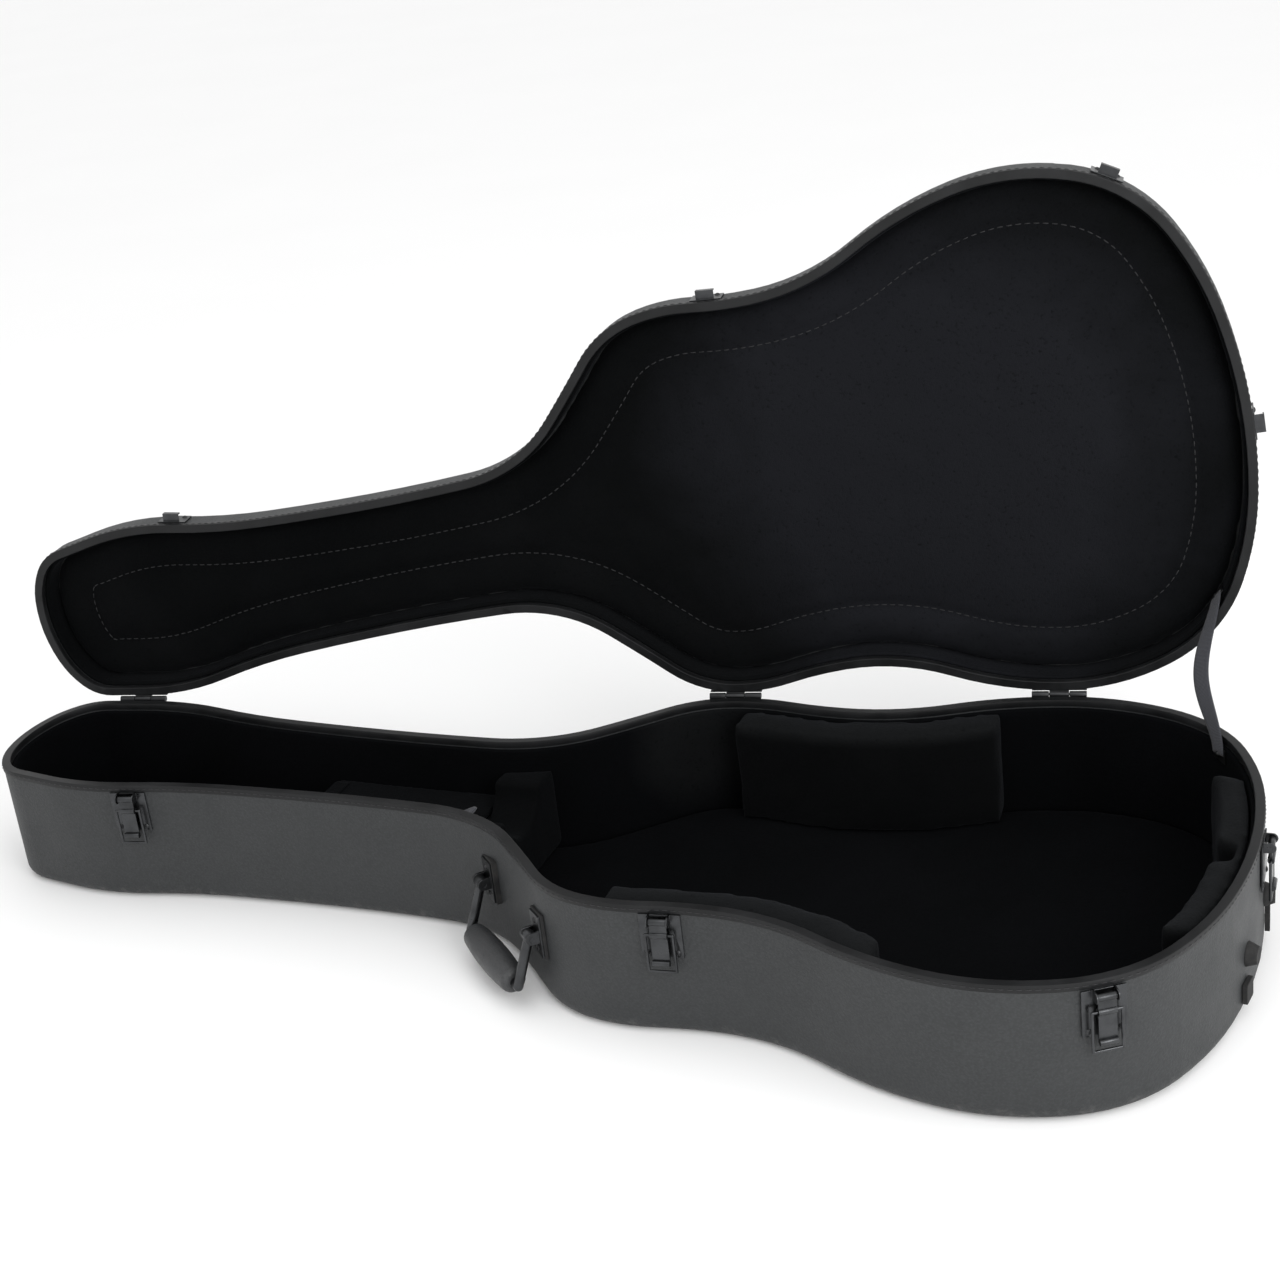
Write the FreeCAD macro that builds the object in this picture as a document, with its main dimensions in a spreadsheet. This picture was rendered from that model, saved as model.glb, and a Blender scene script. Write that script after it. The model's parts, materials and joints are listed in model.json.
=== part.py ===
import FreeCAD, Part
import math
import os

from FreeCAD import Placement, Rotation, Vector

# A hard-shell guitar case, open, lying on its flat bottom, in millimetres.
# +X runs along the hinge line from the head end to the butt end, +Y points to the hinge side, +Z up.
# The guitar's own axis crosses X at a small tilt, so that the lower bout, the upper bout and
# the head all touch one straight hinge line. Plan positions are given as "along" (from the butt
# end, on the guitar's axis) and "across" (from the axis, positive towards the front).

doc = FreeCAD.newDocument("GuitarCase")

SIZES = {
    # plan outline
    "case_length": 1087,
    "axis_tilt": 9.5,
    "spine_offset": 243.5,
    "origin_along": 545,
    "butt_corner_along": 31,
    "butt_corner_across": 147,
    "butt_corner_slope": 63,
    "lower_bout_along": 191,
    "waist_along": 362,
    "waist_across": 165.5,
    "upper_bout_along": 462,
    "shoulder_along": 558,
    "shoulder_across": 98,
    "shoulder_slope": -44,
    "neck_start_along": 645,
    "neck_start_across": 62,
    "neck_start_slope": -2,
    "neck_end_along": 840,
    "neck_end_across": 64.5,
    "neck_end_slope": 3,
    "head_along": 1013,
    "head_corner_along": 1069,
    "head_corner_across": 58,
    "head_corner_slope": -51,
    # shells
    "base_depth": 111,
    "lid_depth": 35,
    "wall": 6,
    "edge_radius": 12,
    "half_gap": 0.25,
    "cut_margin": 1,
    "window_reach": 260,
    "trim_depth": 5.75,
    "trim_cap": 1.25,
    "trim_lip": 0.8,
    # hinges and how far the lid opens
    "open_angle": 90.5,
    "axis_out": 4,
    "knuckle_radius": 2.6,
    "pin_radius": 1.15,
    "running_gap": 0.05,
    "leaf_length": 45,
    "lid_knuckle_length": 16,
    "leaf_reach": 24,
    "leaf_thick": 1.2,
    "leaf_back": 3,
    "knuckle_gap": 0.5,
    "leaf_clear": 3.4,
    # lining and pads
    "lining": 4,
    "lining_drop": 7,
    "floor_pad": 8,
    "soft_gap": 0.3,
    "waist_pad_thick": 30,
    "waist_pad_from": 232,
    "waist_pad_to": 452,
    "waist_window_inner": 60,
    "tail_pad_thick": 24,
    "tail_pad_width": 230,
    "pad_top": 106,
    "tail_window_depth": 90,
    "end_pin_radius": 13,
    "end_pin_inset": 8,
    "end_pin_drop": 38,
    "head_pad_from": 925,
    "head_pad_to": 1040,
    "head_pad_top": 34,
    "lid_pad": 8,
    # neck cradle and accessory compartment
    "cradle_from": 590,
    "cradle_length": 42,
    "cradle_top": 86,
    "notch_width": 62,
    "notch_bottom": 58,
    "bin_length": 164,
    "bin_wall": 4,
    "bin_top": 58,
    "door_thick": 5,
    "door_side_gap": 1.6,
    "door_front_gap": 2,
    "door_hinge_gap": 1,
    "tab_width": 18,
    "tab_length": 26,
    "tab_thick": 1.2,
    "tab_inset": 6,
    # draw latches
    "head_latch_along": 926,
    "waist_latch_along": 399,
    "bout_latch_along": 73,
    "butt_latch_across": -20,
    "plate_width": 32,
    "plate_thick": 1.2,
    "plate_top": 6.5,
    "plate_drop": 36,
    "plate_off": 0.6,
    "ear_inside": 7,
    "ear_thick": 1.2,
    "lever_pivot_out": 6.6,
    "lever_pivot_drop": 10,
    "ear_radius": 4,
    "lever_width": 13,
    "lever_hub": 2.6,
    "bail_pivot_drop": 21,
    "lever_reach": 44,
    "lever_thick": 1.6,
    "lever_curl": 4.5,
    "wire_radius": 1.1,
    "wire_gap": 0.1,
    "bail_half": 10.5,
    "bail_end_gap": 2,
    "bail_hook_rise": 9.6,
    "bail_hook_out": 5.4,
    "latch_pin_radius": 1.2,
    "keeper_width": 26,
    "keeper_low": 6.3,
    "keeper_height": 16,
    "hook_width": 15,
    "hook_shelf": 6.9,
    "hook_out": 9,
    "hook_lip": 4.6,
    # carrying handle
    "handle_butt_along": 509,
    "handle_head_along": 583,
    "handle_pivot_height": 62,
    "handle_pivot_out": 10,
    "handle_half": 49.75,
    "handle_reach": 42,
    "handle_splay": 20,
    "grip_radius": 12.5,
    "grip_length": 86,
    "grip_swell": 2,
    "grip_round": 5,
    "core_radius": 4,
    "eye_radius": 5,
    "eye_length": 9,
    "bracket_width": 17,
    "bracket_height": 36,
    "bracket_thick": 1.6,
    "bracket_off": 2.4,
    "seat_border": 1.5,
    "handle_ear_thick": 2,
    "handle_pin_radius": 2,
    # feet
    "foot_radius": 9.5,
    "foot_tip_radius": 6.5,
    "foot_height": 8,
    "foot_across": 42,
    "foot_level": 45,
    "glide_side": 16,
    "glide_height": 4,
    "glide_across": 50,
    "glide_level": 20,
    "glide_off": 0.2,
    "spine_foot_low": 26,
    "spine_foot_high": 70,
    # lid stay strap
    "stay_along": 44,
    "stay_width": 14,
    "stay_thick": 1.4,
    "stay_drop": 13.5,
    "stay_lift": 1.5,
    "stay_clear": 1.3,
    "anchor_width": 18,
    "anchor_height": 12,
    "anchor_thick": 0.7,
    "anchor_off": 0.5,
    # rivets
    "rivet_head": 3,
    "rivet_dome": 1.3,
    "leaf_rivet_pitch": 15,
    "leaf_rivet_reach": 15,
    "plate_rivet_half": 11.5,
    "plate_rivet_margin": 4,
    "keeper_rivet_half": 8,
    "keeper_rivet_height": 18.5,
    "bracket_rivet_height": 12,
}

sheet = doc.addObject("Spreadsheet::Sheet", "Sizes")
for row, (alias, value) in enumerate(SIZES.items(), start=1):
    sheet.set(f"A{row}", alias)
    sheet.set(f"B{row}", str(value))
    sheet.setAlias(f"B{row}", alias)
doc.recompute()

NODES = []
ZERO = "0"
FAR = 1000
TOLERANCE = 1e-6


def size(alias):
    return float(sheet.get(alias))


def bind(obj, **expressions):
    """Tie properties to spreadsheet cells; a double underscore stands for a dot."""
    for name, expression in expressions.items():
        obj.setExpression(name.replace("__", "."), expression)


def node(obj, label, placement=None):
    """Name a finished sub-part and put it in its place."""
    obj.Label = label
    if placement is not None:
        obj.Placement = placement
    NODES.append(obj)
    return obj


# ---------------------------------------------------------------------------------------------
# Plan outline: each half is a chain of stations, joined by pairs of tangent arcs.

TILT = math.radians(size("axis_tilt"))
ALONG = Vector(-math.cos(TILT), math.sin(TILT), 0)
ACROSS = Vector(-math.sin(TILT), -math.cos(TILT), 0)
BUTT = ALONG * -size("origin_along")
SPINE_Y = BUTT.y + size("spine_offset")


def plan(along, across, z=0.0):
    return BUTT + ALONG * along + ACROSS * across + Vector(0, 0, z)


def touch(alias):
    """A station where the outline touches the straight hinge line."""
    along = size(alias)
    across = (size("spine_offset") - along * math.sin(TILT)) / math.cos(TILT)
    return along, across, -TILT


def station(name):
    slope = math.radians(size(name + "_slope"))
    return size(name + "_along"), size(name + "_across"), slope


def stations():
    quarter = math.pi / 2
    return [
        (0.0, 0.0, quarter),
        station("butt_corner"),
        touch("lower_bout_along"),
        (size("waist_along"), size("waist_across"), 0.0),
        touch("upper_bout_along"),
        station("shoulder"),
        station("neck_start"),
        station("neck_end"),
        touch("head_along"),
        station("head_corner"),
        (size("case_length"), 0.0, -quarter),
    ]


def arc_middle(start, heading, end):
    """The middle point of the arc that leaves start along heading and reaches end."""
    chord = end - start
    half_turn = math.atan2(heading.x * chord.y - heading.y * chord.x, heading.dot(chord))
    sagitta = chord.Length / 2 * math.tan(half_turn / 2)
    outward = Vector(chord.y, -chord.x, 0).normalize()
    return start + chord / 2 + outward * sagitta


def arc_pair(first, second):
    """Two tangent arcs between two stations, each as start, its heading, end and its heading."""
    start, end = Vector(first[0], first[1], 0), Vector(second[0], second[1], 0)
    leave = Vector(math.cos(first[2]), math.sin(first[2]), 0)
    arrive = Vector(math.cos(second[2]), math.sin(second[2]), 0)
    chord = end - start
    along = chord.dot(leave + arrive)
    spread = 1 - leave.dot(arrive)
    arm = (math.sqrt(along**2 + 2 * spread * chord.dot(chord)) - along) / (2 * spread)
    joint = (start + leave * arm + end - arrive * arm) / 2
    through = (end - arrive * arm - start - leave * arm).normalize()
    return [(start, leave, joint, through), (joint, through, end, arrive)]


def left_of(direction):
    return Vector(-direction.y, direction.x, 0)


def outline_arcs(inset):
    """The closed outline, moved inwards by inset, as arcs through three plan points."""
    arcs = []
    points = stations()
    for first, second in zip(points, points[1:]):
        for start, leave, end, arrive in arc_pair(first, second):
            middle = arc_middle(start, leave, end)
            heading = (end - start).normalize()
            ends = [(start, leave), (middle, heading), (end, arrive)]
            arcs.append([point - left_of(way) * inset for point, way in ends])
    front = [Part.Arc(*[plan(p.x, p.y) for p in arc]) for arc in arcs]
    back = [Part.Arc(*[plan(p.x, -p.y) for p in arc]) for arc in arcs]
    return front + back


def edge_point(along, front):
    """A point of the outline at a place along the axis, with its outward direction in plan."""
    side = 1 if front else -1
    points = stations()
    for first, second in zip(points, points[1:]):
        for start, leave, end, arrive in arc_pair(first, second):
            if start.x <= along <= end.x:
                middle = arc_middle(start, leave, end)
                curve = Part.Arc(start, middle, end).toShape()
                cutter = Part.makeLine(Vector(along, -FAR, 0), Vector(along, FAR, 0))
                point = curve.distToShape(cutter)[1][0][0]
                way = curve.Curve.tangent(curve.Curve.parameter(point))[0]
                if way.x < 0:
                    way = way * -1
                normal = left_of(way)
                outward = ALONG * normal.x + ACROSS * normal.y * side
                return plan(point.x, point.y * side), outward
    raise ValueError("no outline at that place")


def butt_point(across):
    """A point of the butt end's outline at a place across the axis, with its outward direction."""
    start, leave, end, _ = arc_pair(*stations()[:2])[0]
    curve = Part.Arc(start, arc_middle(start, leave, end), end).toShape()
    cutter = Part.makeLine(Vector(-FAR, abs(across), 0), Vector(FAR, abs(across), 0))
    point = curve.distToShape(cutter)[1][0][0]
    way = curve.Curve.tangent(curve.Curve.parameter(point))[0]
    if way.y < 0:
        way = way * -1
    side = 1 if across >= 0 else -1
    normal = left_of(way)
    return plan(point.x, point.y * side), ALONG * normal.x + ACROSS * normal.y * side


def wall_frame(point, outward, z):
    """A placement on a wall: local x along the wall, local y outwards, local z up."""
    turn = math.degrees(math.atan2(outward.y, outward.x)) - 90
    return Placement(Vector(point.x, point.y, z), Rotation(Vector(0, 0, 1), turn))


HINGE_Y = SPINE_Y + size("axis_out")
HINGE_Z = size("base_depth")
LID_OPEN = Placement(
    Vector(0, 0, 0),
    Rotation(Vector(1, 0, 0), -size("open_angle")),
    Vector(0, HINGE_Y, HINGE_Z),
)


# ---------------------------------------------------------------------------------------------
# Bodies padded from the outline


def plane_of(body, role):
    return next(f for f in body.Origin.OriginFeatures if f.Role == role)


def outline_sketch(body, name, insets, level):
    """A sketch of one or two nested outlines on the body's ground plane, lifted to a level."""
    sketch = body.newObject("Sketcher::SketchObject", name)
    sketch.AttachmentSupport = [(plane_of(body, "XY_Plane"), "")]
    sketch.MapMode = "FlatFace"
    sketch.setExpression("AttachmentOffset.Base.z", level)
    for inset in insets:
        for arc in outline_arcs(inset):
            sketch.addGeometry(arc)
    sketch.Visibility = False
    return sketch


def padded_outline(name, insets, level, depth):
    body = doc.addObject("PartDesign::Body", name)
    sketch = outline_sketch(body, name + "_sketch", insets, level)
    pad = body.newObject("PartDesign::Pad", name + "_pad")
    pad.Profile = sketch
    bind(pad, Length=depth)
    doc.recompute()
    return body, pad


def round_edges(body, feature, z, radius):
    """Round every edge of a padded body that lies at one height."""
    names = []
    for index, edge in enumerate(feature.Shape.Edges, start=1):
        if all(abs(vertex.Z - z) < TOLERANCE for vertex in edge.Vertexes):
            names.append(f"Edge{index}")
    fillet = body.newObject("PartDesign::Fillet", body.Name + "_round")
    fillet.Base = (feature, names)
    bind(fillet, Radius=radius)
    doc.recompute()
    return fillet


def pocket_up(body, name, insets, level, depth=None):
    """Cut an outline shape upwards from a level, through all or to a depth."""
    before = body.Shape.Volume
    sketch = outline_sketch(body, name + "_sketch", insets, level)
    pocket = body.newObject("PartDesign::Pocket", name)
    pocket.Profile = sketch
    pocket.Reversed = True
    if depth is None:
        pocket.Type = 1
    else:
        bind(pocket, Length=depth)
    doc.recompute()
    if body.Shape.Volume > before - TOLERANCE:
        raise RuntimeError(name + " cut nothing")
    return pocket


def hollow_down(body, name, inset, depth):
    """Cut an outline shape downwards from the ground plane's far side, for a shell open below."""
    before = body.Shape.Volume
    sketch = outline_sketch(body, name + "_sketch", [inset], depth)
    pocket = body.newObject("PartDesign::Pocket", name)
    pocket.Profile = sketch
    pocket.Type = 1
    doc.recompute()
    if body.Shape.Volume > before - TOLERANCE:
        raise RuntimeError(name + " cut nothing")
    return pocket


def make_base_shell():
    top = "Sizes.base_depth - Sizes.half_gap - Sizes.trim_cap"
    body, pad = padded_outline("base_shell", [0], ZERO, top)
    round_edges(body, pad, 0, "Sizes.edge_radius")
    pocket_up(body, "base_hollow", [size("wall")], "Sizes.wall")
    node(body, "base_shell")


def make_lid_shell():
    bottom = "Sizes.base_depth + Sizes.half_gap + Sizes.trim_cap"
    depth = "Sizes.lid_depth - Sizes.half_gap - Sizes.trim_cap"
    body, pad = padded_outline("lid_shell", [0], bottom, depth)
    round_edges(body, pad, size("base_depth") + size("lid_depth"), "Sizes.edge_radius")
    roof = "Sizes.base_depth + Sizes.lid_depth - Sizes.wall"
    hollow_down(body, "lid_hollow", size("wall"), roof)
    node(body, "lid_shell", LID_OPEN)


def make_rim_trims():
    """Edge bindings: channels that wrap the rims of both shells."""
    lip = size("trim_lip")
    rings = [-lip, size("wall") + lip]
    slot = [0.0, size("wall")]
    slot_depth = "Sizes.trim_depth - Sizes.trim_cap"
    low = "Sizes.base_depth - Sizes.half_gap - Sizes.trim_depth"
    body, _ = padded_outline("base_rim_trim", rings, low, "Sizes.trim_depth")
    pocket_up(body, "base_trim_slot", slot, low, slot_depth)
    node(body, "base_rim_trim")
    body, _ = padded_outline(
        "lid_rim_trim", rings, "Sizes.base_depth + Sizes.half_gap", "Sizes.trim_depth"
    )
    above = "Sizes.base_depth + Sizes.half_gap + Sizes.trim_cap"
    pocket_up(body, "lid_trim_slot", slot, above)
    node(body, "lid_rim_trim", LID_OPEN)


def make_linings():
    wall = size("wall")
    inner = wall + size("lining")
    gap = size("soft_gap")
    depth = "Sizes.base_depth - Sizes.lining_drop - Sizes.wall"
    body, _ = padded_outline("base_wall_lining", [wall, inner], "Sizes.wall", depth)
    node(body, "base_wall_lining")
    body, _ = padded_outline("base_floor_pad", [inner + gap], "Sizes.wall", "Sizes.floor_pad")
    node(body, "base_floor_pad")
    low = "Sizes.base_depth + Sizes.lining_drop"
    depth = "Sizes.lid_depth - Sizes.lining_drop - Sizes.wall"
    body, _ = padded_outline("lid_wall_lining", [wall, inner], low, depth)
    node(body, "lid_wall_lining", LID_OPEN)
    low = "Sizes.base_depth + Sizes.lid_depth - Sizes.wall - Sizes.lid_pad"
    body, _ = padded_outline("lid_panel_pad", [inner + gap], low, "Sizes.lid_pad")
    node(body, "lid_panel_pad", LID_OPEN)


# ---------------------------------------------------------------------------------------------
# Primitives bound to the sheet


def box(name, sizes, corner):
    obj = doc.addObject("Part::Box", name)
    bind(obj, Length=sizes[0], Width=sizes[1], Height=sizes[2])
    place(obj, corner)
    return obj


def place(obj, corner):
    for letter, expression in zip("xyz", corner):
        obj.setExpression(f"Placement.Base.{letter}", expression)


def cylinder(name, radius, length, start, axis):
    """A cylinder that leaves start along the named axis."""
    obj = doc.addObject("Part::Cylinder", name)
    bind(obj, Radius=radius, Height=length)
    turns = {"x": Rotation(Vector(0, 1, 0), 90), "y": Rotation(Vector(1, 0, 0), -90), "z": Rotation()}
    obj.Placement = Placement(Vector(), turns[axis])
    place(obj, start)
    return obj


def sphere(name, radius, centre):
    obj = doc.addObject("Part::Sphere", name)
    bind(obj, Radius=radius)
    place(obj, centre)
    return obj


def fuse(name, shapes):
    obj = doc.addObject("Part::MultiFuse", name)
    obj.Shapes = shapes
    obj.Refine = True
    return obj


def group(name, pieces):
    """Separate solids kept as one object, which can be moved as a whole."""
    obj = doc.addObject("Part::Compound", name)
    obj.Links = pieces
    return obj


def cut(name, base, tool):
    obj = doc.addObject("Part::Cut", name)
    obj.Base = base
    obj.Tool = tool
    return obj


def common(name, base, tool):
    obj = doc.addObject("Part::Common", name)
    obj.Base = base
    obj.Tool = tool
    return obj


def axis_box(name, along, across, low, high):
    """A box in line with the guitar's axis; along, across are pairs of numbers, low, high expressions."""
    obj = doc.addObject("Part::Box", name)
    obj.Length = along[1] - along[0]
    obj.Width = across[1] - across[0]
    bind(obj, Height=f"({high}) - ({low})")
    turn = Rotation(Vector(0, 0, 1), 180 - size("axis_tilt"))
    obj.Placement = Placement(plan(along[0], across[0]), turn)
    obj.setExpression("Placement.Base.z", low)
    return obj


# ---------------------------------------------------------------------------------------------
# Pads, neck cradle and accessory compartment

INNER = size("wall") + size("lining") + size("soft_gap")
PAD_FLOOR = "Sizes.wall + Sizes.floor_pad + Sizes.soft_gap"


def inner_ring(name, thick):
    """A band that follows the inside of the wall lining."""
    depth = f"Sizes.pad_top - ({PAD_FLOOR})"
    insets = [INNER, INNER + thick] if thick else [INNER]
    body, _ = padded_outline(name, insets, PAD_FLOOR, depth)
    return body


def make_waist_pads():
    span = (size("waist_pad_from"), size("waist_pad_to"))
    near, far = size("waist_window_inner"), size("window_reach")
    for side, across in (("front", (near, far)), ("back", (-far, -near))):
        name = f"waist_pad_{side}"
        ring = inner_ring(name + "_band", size("waist_pad_thick"))
        window = axis_box(name + "_window", span, across, ZERO, "Sizes.base_depth")
        node(common(name, ring, window), name)


def make_tail_pad():
    half = size("tail_pad_width") / 2
    ring = inner_ring("tail_pad_band", size("tail_pad_thick"))
    span = (0, size("tail_window_depth"))
    window = axis_box("tail_pad_window", span, (-half, half), ZERO, "Sizes.base_depth")
    block = common("tail_pad_block", ring, window)
    recess = doc.addObject("Part::Cylinder", "end_pin_recess")
    bind(recess, Radius="Sizes.end_pin_radius", Height="Sizes.tail_pad_thick")
    centre = plan(INNER + size("end_pin_inset"), 0, size("pad_top") - size("end_pin_drop"))
    recess.Placement = Placement(centre, Rotation(Vector(0, 0, 1), ALONG))
    slot = doc.addObject("Part::Box", "end_pin_slot")
    bind(slot, Length="Sizes.tail_pad_thick", Width="2 * Sizes.end_pin_radius", Height="Sizes.pad_top")
    turn = Rotation(Vector(0, 0, 1), 180 - size("axis_tilt"))
    slot.Placement = Placement(centre - ACROSS * size("end_pin_radius"), turn)
    node(cut("tail_pad", block, fuse("end_pin_relief", [recess, slot])), "tail_pad")


def whole_width():
    """A span across the axis that is wider than the case."""
    return -size("window_reach"), size("window_reach")


def make_head_pad():
    fill = inner_ring("head_pad_fill", None)
    span = (size("head_pad_from"), size("head_pad_to"))
    window = axis_box("head_pad_window", span, whole_width(), ZERO, "Sizes.head_pad_top")
    node(common("head_pad", fill, window), "head_pad")


def make_neck_cradle():
    fill = inner_ring("neck_cradle_fill", None)
    start = size("cradle_from")
    stop = start + size("cradle_length")
    window = axis_box("neck_cradle_window", (start, stop), whole_width(), ZERO, "Sizes.cradle_top")
    block = common("neck_cradle_block", fill, window)
    half = size("notch_width") / 2
    centre = plan(start - size("cut_margin"), 0, size("notch_bottom") + half)
    trough = doc.addObject("Part::Cylinder", "neck_trough")
    bind(trough, Radius="Sizes.notch_width / 2", Height="Sizes.cradle_length + 2 * Sizes.cut_margin")
    trough.Placement = Placement(centre, Rotation(Vector(0, 0, 1), ALONG))
    node(cut("neck_cradle", block, trough), "neck_cradle")


def make_accessory_bin():
    gap = size("soft_gap")
    start = size("cradle_from") + size("cradle_length") + gap
    stop = start + size("bin_length")
    thick = size("bin_wall")
    fill = inner_ring("accessory_bin_fill", None)
    window = axis_box("accessory_bin_window", (start, stop), whole_width(), ZERO, "Sizes.bin_top")
    block = common("accessory_bin_block", fill, window)
    body, _ = padded_outline(
        "accessory_bin_hollow",
        [INNER + thick],
        f"{PAD_FLOOR} + Sizes.bin_wall",
        "Sizes.base_depth",
    )
    inside = axis_box(
        "accessory_bin_inside",
        (start + thick, stop - thick),
        whole_width(),
        ZERO,
        "Sizes.base_depth + Sizes.lid_depth",
    )
    hollow = common("accessory_bin_space", body, inside)
    node(cut("accessory_bin", block, hollow), "accessory_bin")


def door_span():
    start = size("cradle_from") + size("cradle_length")
    stop = start + size("bin_length")
    return start + size("door_front_gap"), stop - size("door_hinge_gap")


def make_accessory_door():
    body, _ = padded_outline(
        "accessory_door_fill",
        [INNER + size("door_side_gap")],
        "Sizes.bin_top + Sizes.soft_gap",
        "Sizes.door_thick",
    )
    window = axis_box("accessory_door_window", door_span(), whole_width(), ZERO, "Sizes.base_depth")
    node(common("accessory_door", body, window), "accessory_door")
    half = size("tab_width") / 2
    start = door_span()[0] + size("tab_inset")
    window = axis_box(
        "accessory_pull_tab",
        (start, start + size("tab_length")),
        (-half, half),
        "Sizes.bin_top + Sizes.soft_gap + Sizes.door_thick",
        "Sizes.bin_top + Sizes.soft_gap + Sizes.door_thick + Sizes.tab_thick",
    )
    node(window, "accessory_pull_tab")


# ---------------------------------------------------------------------------------------------
# Hinges


def hinge_leaf(name, knuckles, upward):
    """One hinge leaf around the local x axis: a plate behind the knuckles, with its own knuckles."""
    back = "-Sizes.leaf_back"
    thick = "Sizes.leaf_thick"
    length = "Sizes.leaf_length"
    low = "Sizes.leaf_clear" if upward else "-Sizes.leaf_reach"
    parts = [
        box(
            name + "_plate",
            (length, thick, "Sizes.leaf_reach - Sizes.leaf_clear"),
            (f"-{length} / 2", back, low),
        )
    ]
    for index, (start, span) in enumerate(knuckles):
        tab_low = ZERO if upward else "-Sizes.leaf_clear"
        parts.append(box(f"{name}_tab{index}", (span, thick, "Sizes.leaf_clear"), (start, back, tab_low)))
        parts.append(
            cylinder(
                f"{name}_barrel{index}",
                "Sizes.knuckle_radius",
                span,
                (start, ZERO, ZERO),
                "x",
            )
        )
    bore = cylinder(
        name + "_bore",
        "Sizes.pin_radius + Sizes.running_gap",
        f"{length} + 2 * Sizes.cut_margin",
        (f"-{length} / 2 - Sizes.cut_margin", ZERO, ZERO),
        "x",
    )
    return cut(name, fuse(name + "_leaf", parts), bore)


HINGES = {"butt": "lower_bout_along", "middle": "upper_bout_along", "head": "head_along"}


def hinge_place(alias):
    across = -touch(alias)[1]
    return Placement(Vector(plan(size(alias), across).x, HINGE_Y, HINGE_Z), Rotation())


def make_hinges():
    outer = "(Sizes.leaf_length - Sizes.lid_knuckle_length) / 2 - Sizes.knuckle_gap"
    base_knuckles = [
        ("-Sizes.leaf_length / 2", outer),
        ("Sizes.lid_knuckle_length / 2 + Sizes.knuckle_gap", outer),
    ]
    lid_knuckles = [("-Sizes.lid_knuckle_length / 2", "Sizes.lid_knuckle_length")]
    pins = []
    for name, alias in HINGES.items():
        spot = hinge_place(alias)
        node(hinge_leaf(f"{name}_hinge_base_leaf", base_knuckles, False), f"{name}_hinge_base_leaf", spot)
        leaf = hinge_leaf(f"{name}_hinge_lid_leaf", lid_knuckles, True)
        node(leaf, f"{name}_hinge_lid_leaf", LID_OPEN.multiply(spot))
        pin = cylinder(
            f"{name}_hinge_pin",
            "Sizes.pin_radius",
            "Sizes.leaf_length",
            ("-Sizes.leaf_length / 2", ZERO, ZERO),
            "x",
        )
        holder = group(f"{name}_hinge_pin_holder", [pin])
        pins.append(holder)
        holder.Placement = spot
    node(group("hinge_pins", pins), "hinge_pins")


# ---------------------------------------------------------------------------------------------
# Draw latches. In a latch's own frame x runs along the wall, y outwards and z up, and the
# origin is on the wall at the height where the lid meets the base.


def latch_plate(name):
    """The riveted base plate with two ears that carry the lever's pin."""
    plate = box(
        name + "_sheet",
        ("Sizes.plate_width", "Sizes.plate_thick", "Sizes.plate_drop"),
        ("-Sizes.plate_width / 2", "Sizes.plate_off", "-Sizes.plate_top - Sizes.plate_drop"),
    )
    parts = [plate]
    for side, start in (("left", "-Sizes.ear_inside - Sizes.ear_thick"), ("right", "Sizes.ear_inside")):
        web = "Sizes.lever_pivot_out - Sizes.plate_off"
        parts.append(
            box(
                f"{name}_{side}_web",
                ("Sizes.ear_thick", web, "2 * Sizes.ear_radius"),
                (start, "Sizes.plate_off", "-Sizes.lever_pivot_drop - Sizes.ear_radius"),
            )
        )
        parts.append(
            cylinder(
                f"{name}_{side}_ear",
                "Sizes.ear_radius",
                "Sizes.ear_thick",
                (start, "Sizes.lever_pivot_out", "-Sizes.lever_pivot_drop"),
                "x",
            )
        )
    bore = cylinder(
        name + "_bore",
        "Sizes.latch_pin_radius",
        "Sizes.plate_width",
        ("-Sizes.plate_width / 2", "Sizes.lever_pivot_out", "-Sizes.lever_pivot_drop"),
        "x",
    )
    return cut(name, fuse(name + "_pressing", parts), bore)


def latch_pin(name):
    half = "Sizes.ear_inside + Sizes.ear_thick"
    return cylinder(
        name,
        "Sizes.latch_pin_radius",
        f"2 * ({half})",
        (f"-({half})", "Sizes.lever_pivot_out", "-Sizes.lever_pivot_drop"),
        "x",
    )


def latch_lever(name):
    """A flat lever that hangs from its pin, with a barrel for the bail and a curled finger end."""
    width = "Sizes.lever_width"
    left = "-Sizes.lever_width / 2"
    out = "Sizes.lever_pivot_out"
    tongue = box(
        name + "_tongue",
        (width, "Sizes.lever_thick", "Sizes.lever_reach - Sizes.lever_pivot_drop"),
        (left, f"{out} - Sizes.lever_thick / 2", "-Sizes.lever_reach"),
    )
    hub = cylinder(name + "_hub", "Sizes.lever_hub", width, (left, out, "-Sizes.lever_pivot_drop"), "x")
    barrel = cylinder(name + "_barrel", "Sizes.lever_hub", width, (left, out, "-Sizes.bail_pivot_drop"), "x")
    curl = cylinder(
        name + "_curl",
        "Sizes.lever_curl / 2",
        width,
        (left, f"{out} + Sizes.lever_curl / 2 - Sizes.lever_thick / 2", "-Sizes.lever_reach"),
        "x",
    )
    bores = []
    for key, drop, radius in (
        ("pin", "Sizes.lever_pivot_drop", "Sizes.latch_pin_radius + Sizes.running_gap"),
        ("bail", "Sizes.bail_pivot_drop", "Sizes.wire_radius + Sizes.wire_gap"),
    ):
        start = (f"-{width}", out, f"-{drop}")
        bores.append(cylinder(f"{name}_{key}_bore", radius, f"2 * {width}", start, "x"))
    body = fuse(name + "_body", [tongue, hub, barrel, curl])
    return cut(name, body, fuse(name + "_bores", bores))


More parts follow.
